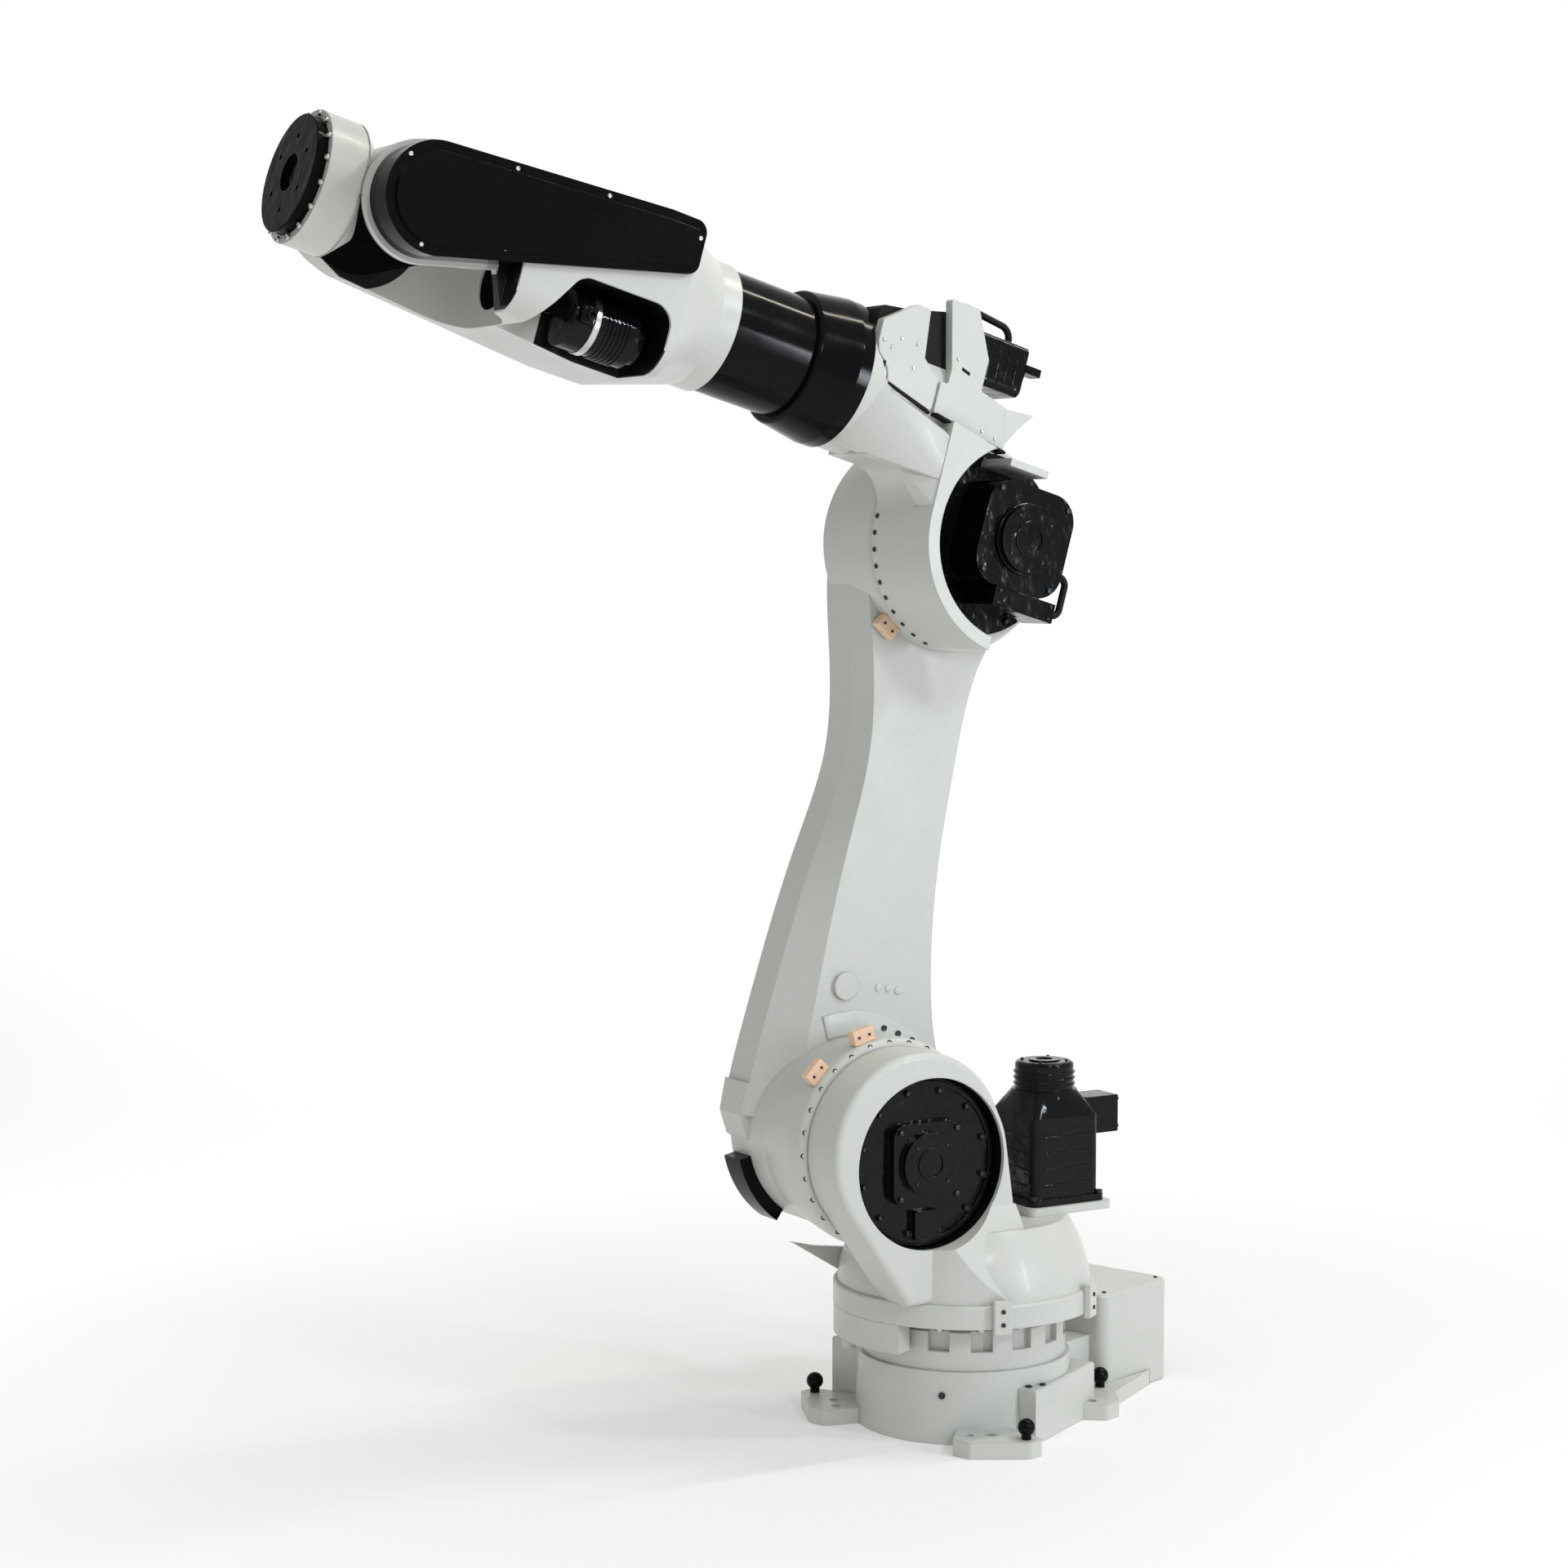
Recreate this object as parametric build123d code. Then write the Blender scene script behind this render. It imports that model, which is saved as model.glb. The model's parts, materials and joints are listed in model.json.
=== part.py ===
from build123d import *
import os

# Six-axis floor-mounted robot arm. Millimetres, +Z up, +X is the front of the base,
# origin on the turning axis of the turret at floor level.

# Kinematics: where the six axes lie, and the pose that the arm holds
arm_turn = -18.0             # degrees, arm turned about the base from its front
j2_reach = 200.0             # turret axis to shoulder axis
j2_height = 543.0            # shoulder axis above the floor
lower_arm_length = 1110.0    # shoulder axis to elbow axis
lower_arm_lean = 11.7        # degrees, lower arm leaning back
forearm_offset = 202.0       # elbow axis to forearm axis
forearm_rise = 16.0          # degrees, forearm pointing up
wrist_reach = 1281.0         # elbow axis to wrist axis, along the forearm
flange_reach = 180.0         # wrist axis to tool flange face

# Gaps and overruns
running_gap = 0.3            # between faces that turn past each other at a bearing
seat_gap = 0.3               # between a bolted piece and a face that it could foul
swing_gap = 8.0              # between a moving casting and what it swings past
overrun = 2.0                # how far a cut runs past the face it opens

# Base
base_foot_radius = 202.0
base_foot_height = 20.0
base_seam_radius = 197.0
base_seam_height = 133.0
ring_gap = 13.0              # from the stop skirt in to the ring
ring_top = 215.0
ring_rim_top = 204.0         # outer rim, below the dark gap under the turret
ring_seat_inset = 27.0       # bearing seat inside the rim
ring_pocket_count = 15
ring_pocket_width = 40.0
ring_pocket_height = 36.0
ring_pocket_depth = 14.0
pad_thickness = 30.0
pad_root = 75.0              # where a pad leaves the round foot, along each axis
pad_root_side = 105.0
pad_far = 272.0              # outermost edge of a pad
pad_far_inner = 116.0        # ends of that edge
pad_far_outer = 150.0
pad_near = 224.0             # second edge of a pad
pad_near_inner = 150.0
pad_near_outer = 188.0
pad_corner_radius = 10.0
bolt_hole_radius = 9.0
bolt_reach = 240.0           # bolt pair on the diagonal of a pad
bolt_spread = 20.0
cap_along = 136.0            # ball cap on the outermost corner of a pad
cap_across = 249.0
cap_radius = 16.0
cap_stem_radius = 9.0
cap_stem_height = 6.0
side_block_front = 75.0      # left block, along the base
side_block_rear = -172.0
side_block_front_y = 224.0   # its slanting outer face
side_block_rear_y = 177.0
side_block_inner = 110.0
side_block_height = 100.0
right_block_shift = 18.0     # the right block stands further out
right_block_height = 131.0
side_block_edge = 5.0
box_front = -270.0
box_rear = -487.0
box_half_width = 130.0
box_height = 200.0
box_floor = 3.0
box_corner_radius = 22.0
box_edge_radius = 7.0
box_neck_half_width = 96.0
box_neck_height = 120.0
box_foot_root = -180.0       # low foot that runs from a rear pad along the box
box_foot_corner = -214.0
box_foot_corner_y = 184.0
box_foot_rear = -420.0
box_foot_rear_y = 133.0
plate_thickness = 10.0
plate_margin = 9.0
port_count = 3
port_radius = 19.0
port_length = 14.0

# Turret
flange_radius = 244.0
flange_bottom = 222.0
flange_top = 265.0
flange_edge = 5.0
spigot_radius = 150.0
dome_foot_inset = 8.0        # foot of the dome, in from the flange
dome_top_inset = 54.0
dome_top = 388.0
dome_bulge = 9.0             # rise of the dome's side over a straight cone
shoulder_radius = 180.0
shoulder_inner = 64.0        # shoulder housing, from the lower arm's foot
shoulder_outer = 158.0       # to the open end that shows the motor
shoulder_edge = 12.0
web_front_inset = 19.0       # foot of the web that carries the shoulder, in from the flange
web_rear = -30.0
web_shelf = 430.0            # height where the web starts to spread to the flange
web_spread_inset = 12.0      # how far in from the flange it ends there
opening_radius = 156.0
opening_back = 24.0          # opening behind and below the shoulder axis
opening_drop = 23.0
opening_wall = 12.0          # wall round the opening
opening_floor = 26.0         # wall left at the bottom of the opening
skirt_depth = 41.0
skirt_bottom = 168.0
skirt_half_angle = 27.0
stop_peg_radius = 13.0
stop_peg_bottom = 146.0
stop_peg_angle = -16.0
stop_peg_inset = 21.0
bracket_angles = (72.0, 124.0)
bracket_width = 34.0
bracket_depth = 13.0
bracket_height = 62.0
bracket_drop = 8.0
bracket_edge = 3.0
guard_near = -146.0          # pointed guard in front of the dome
guard_far = -160.0
guard_rear = 96.0
guard_foot = 172.0
guard_tip = 284.0
guard_tip_height = 334.0
guard_top = 232.0
guard_top_height = 321.0
guard_rear_height = 302.0
shelf_x = -166.0
shelf_y = 22.0
shelf_size = 186.0
shelf_thickness = 15.0
shelf_corner = 14.0
j1_motor_size = 150.0
j1_motor_corner = 16.0
j1_motor_height = 150.0
j1_motor_foot_size = 168.0
j1_motor_foot_height = 12.0
j1_bell_height = 46.0
j1_bell_top_radius = 60.0
j1_cap_height = 52.0
j1_cap_radius = 55.0
j1_cap_edge = 8.0
j1_plug_length = 78.0
j1_plug_width = 62.0
j1_plug_height = 70.0
j1_plug_drop = 22.0          # below the top of the bell
plug_edge = 6.0
j2_plate_gap = 4.0           # between the plate and the wall of the opening
j2_plate_thickness = 38.0
j2_motor_size = 148.0
j2_motor_corner = 26.0
j2_motor_length = 18.0
j2_cap_radius = 58.0
j2_cap_length = 12.0
j2_plug_size = 52.0
j2_plug_length = 14.0
j2_plug_drop = 112.0

# Lower arm
beam_near = -90.0            # near face of the beam, measured across the arm
beam_edge = -150.0           # where its bevel starts
beam_far = -225.0
beam_far_edge = 14.0
foot_near = 60.0
foot_swing_radius = 208.0    # farthest that the foot reaches from the shoulder axis
foot_far_radius = 178.0      # drum behind the beam
foot_hub_radius = 194.0
hub_flare_end = 20.0         # the hub widens from the beam's near face to here
nose_height = 60.0           # blunt nose of the beam in front of the foot drum
nose_front = 200.0
nose_chin = 176.0
nose_chin_drop = 42.0
nose_heel = 120.0
nose_heel_drop = 64.0
foot_edge = 12.0
bearing_radius = 176.0
head_near = -44.0
head_radius = 202.0
head_edge = 24.0
beam_shares = (0.18, 0.46, 0.63, 0.83)        # heights where the outline is drawn
beam_fronts = (180.0, 137.0, 110.0, 150.0)    # front of the beam at its widest
face_fronts = (120.0, 108.0, 97.0, 139.0)     # front of its near face
face_front_foot = 124.0
beam_rears = (164.0, 108.0, 104.0, 128.0)     # rear of the beam
face_rears = (154.0, 97.0, 94.0, 117.0)
lift_boss_radius = 26.0
lift_boss_length = 9.0
lift_boss_share = 0.24
lift_boss_x = 62.0
foot_cover_thickness = 24.0
foot_cover_start = 24.0      # degrees below the beam's front
foot_cover_end = 66.0
foot_cover_near = -148.0
foot_cover_far = -205.0
stop_block_angles = (58.0, 26.0)
stop_block_length = 44.0
stop_block_width = 26.0
stop_block_depth = 20.0
stop_block_edge = 3.0
head_block_angle = 147.0
arm_cap_radius = 120.0
arm_cap_length = 14.0
arm_cap_edge = 5.0

# Elbow
elbow_radius = 204.0         # front half of the drum
elbow_back_radius = 178.0    # wall behind the motor
elbow_rear = 18.0            # where the front half ends
elbow_outer = 143.0
elbow_wall = 24.0
elbow_floor = 34.0
neck_radius = 117.0
neck_keel_radius = 112.0     # lower half of the neck, a little below its axis
neck_keel_drop = 18.0
cheek_gap = 6.0              # dark gap between the cheek and the side plates
neck_face = 388.0
neck_face_radius = 131.0
neck_flare = 64.0
neck_rear = 150.0
gusset_front = 330.0
gusset_step_height = 262.0
gusset_rear = 74.0
gusset_rear_height = 150.0
gusset_half_width = 84.0
gusset_blend = 70.0
j3_plate_radius = 168.0
j3_plate_thickness = 16.0
j3_motor_size = 194.0
j3_motor_corner = 52.0
j3_motor_length = 92.0
j3_motor_x = -34.0
j3_motor_z = 18.0
j3_cap_radius = 62.0
j3_cap_length = 18.0
j3_box_length = 136.0
j3_box_height = 36.0
j3_box_width = 96.0
j3_box_x = -62.0
pack_front = 383.0
pack_top_front = 338.0
pack_top = 372.0
pack_edge = 10.0
plate_far = 123.0            # outer face of the side plates
side_plate_thickness = 20.0
side_plate_corner = 5.0
slot_front = 293.0           # slot between the front and the rear plate, at the top
slot_rear = 256.0
slot_front_foot = 282.0      # and where it ends
slot_rear_foot = 222.0
slot_waist_height = 260.0
slot_foot = 238.0
slot_foot_height = 231.0
slot_gap = 6.0
plate_foot_height = 174.0
front_plate_top = 346.0
front_plate_nose_height = 300.0
front_plate_nose = 322.0
front_plate_front_height = 262.0
front_plate_step = 366.0
front_plate_step_height = 204.0
rear_plate_top = 379.0
rear_plate_top_rear = 194.0
rear_plate_back = 150.0
rear_plate_back_height = 298.0
rear_plate_notch_height = 240.0
rear_plate_heel = 91.0
rear_plate_heel_height = 227.0
rear_plate_foot = 74.0
rear_plate_foot_height = 150.0
fin_lap = 20.0
fin_far = 44.0
upper_fin_rear = 16.0
upper_fin_rise = 9.0
upper_fin_waist = 42.0
upper_fin_waist_drop = 24.0
lower_fin_rear = -46.0
lower_fin_front = 39.0
lower_fin_thickness = 14.0
j4_motor_z = 317.0
j4_motor_y = 10.0
j4_motor_size = 94.0
j4_motor_corner = 14.0
j4_motor_rear = 26.0
j4_cap_radius = 34.0
j4_cap_length = 10.0
j4_plug_size = 30.0
j4_plug_length = 34.0
cable_radius = 6.5           # leads of the elbow and forearm motors
j4_cable_front = 178.0       # lead from the core over the forearm motor
j4_cable_rear = 46.0
j4_cable_rise = 34.0
j4_cable_bend = 24.0
j3_cable_y = 80.0            # lead from the elbow motor down to its box
j3_cable_bow = 24.0
j3_cable_top = -24.0
j3_cable_bend = 16.0

# Forearm: lengths along it are shares of the way from the drive ring to the wrist axis
ring_front = 495.0
ring_outer_radius = 135.0
ring_nose_radius = 122.0     # the ring narrows towards the tube
ring_shoulder = 412.0
ring_edge = 8.0
tube_radius = 110.0
collar_radius = 115.0
collar_share = 0.205         # rear rim of the housing
flare_share = 0.255          # where the housing starts to widen
hand_share = 0.390           # where it is full size
hand_half_width = 186.0
hand_top = 318.0
hand_bottom = 58.0
hand_corner = 66.0
flare_corner = 108.0
tip_corner = 34.0
deep_share = 0.525           # where the underside starts to rise to the tips
fork_gap = 118.0             # half the opening between the fork arms
fork_depth = 219.0           # from the root of the fork to the wrist axis
fork_root_radius = 70.0
tip_radius = 100.0
window_rear_share = 0.411
window_overhang = 10.71      # front of the window, past the root of the fork
window_top = 170.0
window_slope = 118.0
window_lean_share = 0.302359  # of the window length
bay_share = 0.843            # front edge of the near flank, under the belt cover
bay_mid_share = 0.785
bay_foot_share = 0.738
bay_mid_drop = 100.0
bay_rim = 8.0                # near fork arm left below the belt cover
well_radius = 56.0           # round opening at the root of the fork
well_y = -6.0
well_z = 158.0
well_depth = 110.0
well_floor = 24.0            # drive face inside it
window_corner = 36.0
window_depth = 150.0
pulley_share = 0.449
pulley_z = 277.0
pulley_half = 47.0
cover_tip_radius = 92.0
cover_thickness = 13.0
hood_floor = 136.0           # the cover reaches in to here over the wrist end of the near fork arm
hood_length = 176.0          # how far behind the wrist axis the deep part starts
cover_corner = 22.0
cover_panel_inset = 17.0
cover_panel_rise = 5.0
far_cover_thickness = 12.0
far_cover_radius = 84.0
hand_motor_radius = 50.0
hand_motor_length_share = 0.486916  # of the window length
hand_motor_place_share = 0.367284   # along the window
hand_motor_y = 96.0
hand_motor_z = 112.0
hand_motor_cap_radius = 40.0
hand_motor_cap_share = 0.129032     # of the motor length
hand_motor_saddle = 62.0

# Wrist and tool flange
barrel_radius = 98.0
barrel_inner = -60.0          # the white hub starts here
barrel_edge = 12.0
hub_radius = 99.0
hub_drop = 18.0              # the hub covers the upper part of the barrel only
neck_tube_radius = 66.0
head_housing_rear = 52.0
head_housing_step = 92.0
head_housing_front = 160.0
head_housing_radius = 113.0
head_housing_rear_radius = 72.0
head_seam_depth = 2.5
head_seam_width = 4.0
tool_radius = 100.0
tool_pcd_radius = 62.5
tool_bolt_count = 6
tool_bolt_radius = 5.0
tool_pilot_radius = 31.5
tool_pilot_depth = 9.0
tool_edge = 2.0

# Values that follow from the ones above
elbow_near = head_near + running_gap
forearm_span = wrist_reach - ring_front
collar_rear = ring_front + collar_share * forearm_span
fork_root = wrist_reach - fork_depth
ring_radius = flange_radius - skirt_depth - ring_gap
ring_seat_radius = ring_radius - ring_seat_inset
dome_foot_radius = flange_radius - dome_foot_inset
dome_top_radius = flange_radius - dome_top_inset
web_front = flange_radius - web_front_inset
web_spread = flange_radius - web_spread_inset
window_rear = ring_front + window_rear_share * forearm_span
window_front = fork_root + window_overhang
window_length = window_front - window_rear
hand_motor_length = hand_motor_length_share * window_length
hand_motor_cap_length = hand_motor_cap_share * hand_motor_length
arm_frame = Rot(0, 0, arm_turn)
lower_frame = arm_frame * Pos(j2_reach, 0, j2_height) * Rot(0, -lower_arm_lean, 0)
elbow_frame = lower_frame * Pos(0, 0, lower_arm_length) * Rot(0, lower_arm_lean - forearm_rise, 0)
wrist_frame = elbow_frame * Pos(wrist_reach, 0, forearm_offset)


def drum(radius, y_from, y_to, x=0, z=0):
    """Cylinder lying across the arm, from one side to the other."""
    return Pos(x, (y_from + y_to) / 2, z) * Rot(90, 0, 0) * Cylinder(radius, y_to - y_from)


def shaft(radius, x_from, x_to, y=0, z=0):
    """Cylinder lying along the arm."""
    return Pos((x_from + x_to) / 2, y, z) * Rot(0, 90, 0) * Cylinder(radius, x_to - x_from)


def post(radius, z_from, z_to, x=0, y=0):
    """Upright cylinder."""
    return Pos(x, y, (z_from + z_to) / 2) * Cylinder(radius, z_to - z_from)


def block(x_from, x_to, y_from, y_to, z_from, z_to):
    """Box between six planes."""
    centre = Pos((x_from + x_to) / 2, (y_from + y_to) / 2, (z_from + z_to) / 2)
    return centre * Box(x_to - x_from, y_to - y_from, z_to - z_from)


def side_slab(outline, y_from, y_to):
    """Outline drawn in the side view, extruded across the arm."""
    return Pos(0, y_to, 0) * extrude(Plane.XZ * outline, amount=y_to - y_from)


def flat_slab(outline, z_from, z_to):
    """Outline drawn in the top view, extruded upwards."""
    return Pos(0, 0, z_from) * extrude(outline, amount=z_to - z_from)


def rounded(points, radius):
    """Closed outline with every corner rounded."""
    return make_face(FilletPolyline(*points, radius=radius, close=True))


def turned(points):
    """Solid of revolution about the Z axis from its half section."""
    return revolve(Plane.XZ * make_face(Polyline(*points, close=True)), Axis.Z)


# Base
def foot_solid(grow):
    """Round foot that narrows to the seam, with four pads, grown by a clearance."""
    body = turned([
        (0, 0), (base_foot_radius + grow, 0), (base_foot_radius + grow, base_foot_height),
        (base_seam_radius + grow, base_seam_height), (0, base_seam_height),
    ])
    outline = rounded([
        (pad_root, pad_root_side), (pad_far_inner, pad_far), (pad_far_outer, pad_far),
        (pad_near, pad_near_outer), (pad_near, pad_near_inner), (pad_root_side, pad_root),
    ], pad_corner_radius)
    pad = flat_slab(outline, 0, pad_thickness + grow)
    for turn in (0, 90):
        body += Rot(0, 0, turn) * pad
        body += mirror(Rot(0, 0, turn) * pad, about=Plane.XZ)
    return body


def base_casting():
    """Round foot with its bolting pads and the web to the rear box."""
    body = foot_solid(0) - connector_solid(seat_gap)
    body += block(box_front + seat_gap, 0, -box_neck_half_width, box_neck_half_width, 0, box_neck_height)
    strip = make_face(Polyline(
        (box_foot_root, box_neck_half_width), (box_foot_corner, box_foot_corner_y),
        (box_foot_rear, box_foot_rear_y), (box_front, box_half_width), (box_front, box_neck_half_width), close=True,
    ))
    strip = flat_slab(strip, 0, pad_thickness) - connector_solid(seat_gap)
    body += strip
    body += mirror(strip, about=Plane.XZ)
    hole = post(bolt_hole_radius, -overrun, base_seam_height, bolt_reach, bolt_spread)
    hole += post(bolt_hole_radius, -overrun, base_seam_height, bolt_reach, -bolt_spread)
    for turn in (45, 135, 225, 315):
        body -= Rot(0, 0, turn) * hole
    return body


def base_ring():
    """Fixed bearing ring above the seam, its rim notched round the bolts, with the bearing seat inside."""
    ring = post(ring_radius, base_seam_height, ring_rim_top)
    pocket = block(
        ring_radius - ring_pocket_depth, ring_radius + overrun,
        -ring_pocket_width / 2, ring_pocket_width / 2,
        ring_rim_top - ring_pocket_height, ring_rim_top + overrun,
    )
    for index in range(ring_pocket_count):
        ring -= Rot(0, 0, index * 360 / ring_pocket_count) * pocket
    return ring + post(ring_seat_radius, base_seam_height, ring_top)


def side_block(shift, height):
    """Block beside the round foot, its outer face slanting to the rear."""
    outline = make_face(Polyline(
        (side_block_rear, side_block_inner), (side_block_front + shift, side_block_inner),
        (side_block_front + shift, side_block_front_y + shift), (side_block_rear, side_block_rear_y + shift),
        close=True,
    ))
    body = flat_slab(outline, 0, height)
    body = fillet(body.edges().group_by(Axis.Z)[-1], side_block_edge)
    return body - foot_solid(seat_gap)


def side_blocks():
    """Blocks bolted along both sides of the foot."""
    right = mirror(side_block(right_block_shift, right_block_height), about=Plane.XZ)
    return Compound([side_block(0, side_block_height), right])


def connector_solid(grow):
    """Outline of the rear box, raised to its height and grown by a clearance."""
    outline = RectangleRounded(box_front - box_rear + 2 * grow, 2 * (box_half_width + grow), box_corner_radius)
    return Pos((box_front + box_rear) / 2, 0, box_floor) * extrude(outline, amount=box_height - box_floor)


def rear_connector_box():
    """Box behind the foot that takes the supply cables."""
    body = connector_solid(0)
    return fillet(body.edges().group_by(Axis.Z)[-1], box_edge_radius)


def connector_plate():
    """Dark plate with its sockets on the rear end of the box."""
    half_width = box_half_width - box_corner_radius
    plate = block(
        box_rear - plate_thickness, box_rear, -half_width, half_width,
        box_floor + plate_margin, box_height - plate_margin,
    )
    height = (box_floor + box_height) / 2
    spacing = 2 * half_width / port_count
    for index in range(port_count):
        y = (index - (port_count - 1) / 2) * spacing
        plate += shaft(port_radius, box_rear - plate_thickness - port_length, box_rear, y, height)
    return plate


def anchor_caps():
    """Ball caps over the levelling screws, one on each pad."""
    caps = []
    ball_height = pad_thickness + cap_stem_height + cap_radius
    cap = post(cap_stem_radius, pad_thickness, ball_height)
    cap += Pos(0, 0, ball_height) * Sphere(cap_radius)
    for x, y in ((cap_along, cap_across), (-cap_across, cap_along)):
        caps.append(Pos(x, y, 0) * cap)
        caps.append(Pos(x, -y, 0) * cap)
    return Compound(caps)


# Turret
def turret_casting():
    """Turning flange, dome and the open shoulder housing."""
    flange = post(flange_radius, flange_bottom, flange_top)
    flange = fillet(flange.edges().sort_by(Axis.Z)[-1], flange_edge)
    body = flange + post(spigot_radius, ring_top + running_gap, flange_bottom)
    middle = ((dome_foot_radius + dome_top_radius) / 2 + dome_bulge, (flange_top + dome_top) / 2)
    side = ThreePointArc((dome_foot_radius, flange_top), middle, (dome_top_radius, dome_top))
    rest = Polyline((dome_top_radius, dome_top), (0, dome_top), (0, flange_top), (dome_foot_radius, flange_top))
    body += revolve(Plane.XZ * make_face([side, *rest.edges()]), Axis.Z)
    guard = make_face(Polyline(
        (guard_rear, flange_top), (guard_foot, flange_top), (guard_tip, guard_tip_height),
        (guard_top, guard_top_height), (guard_rear, guard_rear_height), close=True,
    ))
    body += side_slab(guard, guard_far, guard_near)
    body -= drum(foot_swing_radius + swing_gap, -flange_radius, shoulder_inner, j2_reach, j2_height)
    ring = Pos(j2_reach, j2_height) * Circle(shoulder_radius)
    mouth = Pos(j2_reach - opening_back, j2_height - opening_drop) * Circle(opening_radius + opening_wall)
    foot_line = Line((web_rear, flange_top), (web_front, flange_top))
    web = make_hull([*ring.edges(), *mouth.edges(), foot_line])
    shoulder = side_slab(web, shoulder_inner, shoulder_outer)
    body += fillet(shoulder.edges().group_by(Axis.Y)[-1], shoulder_edge)
    spread = make_face(Polyline(
        (shoulder_inner, flange_top), (web_spread, flange_top), (shoulder_outer, web_shelf),
        (shoulder_inner, web_shelf), close=True,
    ))
    wedge = Pos(-flange_radius, 0, 0) * extrude(Plane.YZ * spread, amount=2 * flange_radius)
    wedge = wedge & side_slab(web, shoulder_inner, flange_radius)
    body += wedge & post(dome_foot_radius, flange_top, web_shelf)
    opening = Pos(j2_reach - opening_back, j2_height - opening_drop) * Circle(opening_radius)
    body -= side_slab(opening, shoulder_inner + opening_floor, flange_radius)
    return body


def stop_skirt():
    """Arc-shaped skirt under the flange that carries the turning stop."""
    ring = post(flange_radius, skirt_bottom, flange_bottom)
    ring -= post(flange_radius - skirt_depth, skirt_bottom, flange_bottom)
    reach = 2 * flange_radius
    half = Rot(0, 0, skirt_half_angle) * block(-reach, reach, 0, reach, 0, flange_top)
    ring -= half
    ring -= mirror(half, about=Plane.XZ)
    ring -= block(-reach, 0, -reach, reach, 0, flange_top)
    peg_radius = flange_radius - stop_peg_inset
    ring += Rot(0, 0, stop_peg_angle) * post(stop_peg_radius, stop_peg_bottom, flange_bottom, peg_radius)
    return ring


def stop_brackets():
    """Small screwed brackets on the rim of the flange."""
    brackets = []
    for angle in bracket_angles:
        bracket = block(
            flange_radius, flange_radius + bracket_depth, -bracket_width / 2, bracket_width / 2,
            flange_bottom - bracket_drop, flange_bottom - bracket_drop + bracket_height,
        )
        bracket = fillet(bracket.edges().group_by(Axis.X)[-1], bracket_edge)
        bracket -= post(flange_radius + running_gap, flange_bottom - bracket_height, flange_top + bracket_height)
        brackets.append(Rot(0, 0, angle) * bracket)
    return Compound(brackets)


def motor_shelf():
    """Plate on a short stem that carries the turning motor."""
    outline = RectangleRounded(shelf_size, shelf_size, shelf_corner)
    plate = Pos(shelf_x, shelf_y, dome_top) * extrude(outline, amount=shelf_thickness)
    return plate


def j1_motor():
    """Upright turning motor: foot, square body, bell and round cap."""
    foot_bottom = dome_top + shelf_thickness
    body_bottom = foot_bottom + j1_motor_foot_height
    body_top = body_bottom + j1_motor_height
    bell_top = body_top + j1_bell_height
    foot = extrude(RectangleRounded(j1_motor_foot_size, j1_motor_foot_size, j1_motor_corner),
                   amount=j1_motor_foot_height)
    motor = Pos(0, 0, foot_bottom) * foot
    section = RectangleRounded(j1_motor_size, j1_motor_size, j1_motor_corner)
    motor += Pos(0, 0, body_bottom) * extrude(section, amount=j1_motor_height)
    motor += loft([Pos(0, 0, body_top) * section, Pos(0, 0, bell_top) * Circle(j1_bell_top_radius)])
    cap = post(j1_cap_radius, bell_top, bell_top + j1_cap_height)
    motor += fillet(cap.edges().sort_by(Axis.Z)[-1], j1_cap_edge)
    return Pos(shelf_x, shelf_y, 0) * motor


def j1_motor_plug():
    """Angled connector housing on the side of the turning motor."""
    foot = dome_top + shelf_thickness + j1_motor_foot_height
    top = foot + j1_motor_height + j1_bell_height - j1_plug_drop
    half = j1_motor_size / 2
    plug = block(half, half + j1_plug_length, -j1_plug_width / 2, j1_plug_width / 2,
                 top - j1_plug_height, top)
    plug = fillet(plug.edges().group_by(Axis.X)[-1], plug_edge)
    return Pos(shelf_x, shelf_y, 0) * Rot(0, 0, 180) * plug


def j2_motor():
    """Shoulder motor seen in the open housing, on its round plate."""
    floor = shoulder_inner + opening_floor
    body_front = floor + j2_plate_thickness + j2_motor_length
    motor = drum(opening_radius - j2_plate_gap, floor, floor + j2_plate_thickness)
    section = RectangleRounded(j2_motor_size, j2_motor_size, j2_motor_corner)
    motor += side_slab(section, floor, body_front)
    motor += drum(j2_cap_radius, body_front, body_front + j2_cap_length)
    plug = Pos(0, -j2_plug_drop) * RectangleRounded(j2_plug_size, j2_plug_size, plug_edge)
    motor += side_slab(plug, floor, floor + j2_plate_thickness + j2_plug_length)
    return Pos(j2_reach - opening_back, 0, j2_height - opening_drop) * motor


# Lower arm
def beam_outline(fronts, front_foot, rears):
    """Side view of the beam, from the shoulder axis to the elbow axis."""
    heights = [share * lower_arm_length for share in beam_shares]
    front = Spline(
        (front_foot, 0), *zip(fronts, heights), (head_radius - head_edge, lower_arm_length),
        tangents=[(0, 1), (0, 1)],
    )
    rear = Spline(
        (head_edge - head_radius, lower_arm_length), *zip([-x for x in reversed(rears)], reversed(heights)),
        (-foot_hub_radius, 0), tangents=[(0, -1), (0, -1)],
    )
    return make_face([front, Line(front @ 1, rear @ 0), rear, Line(rear @ 1, front @ 0)])


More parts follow.
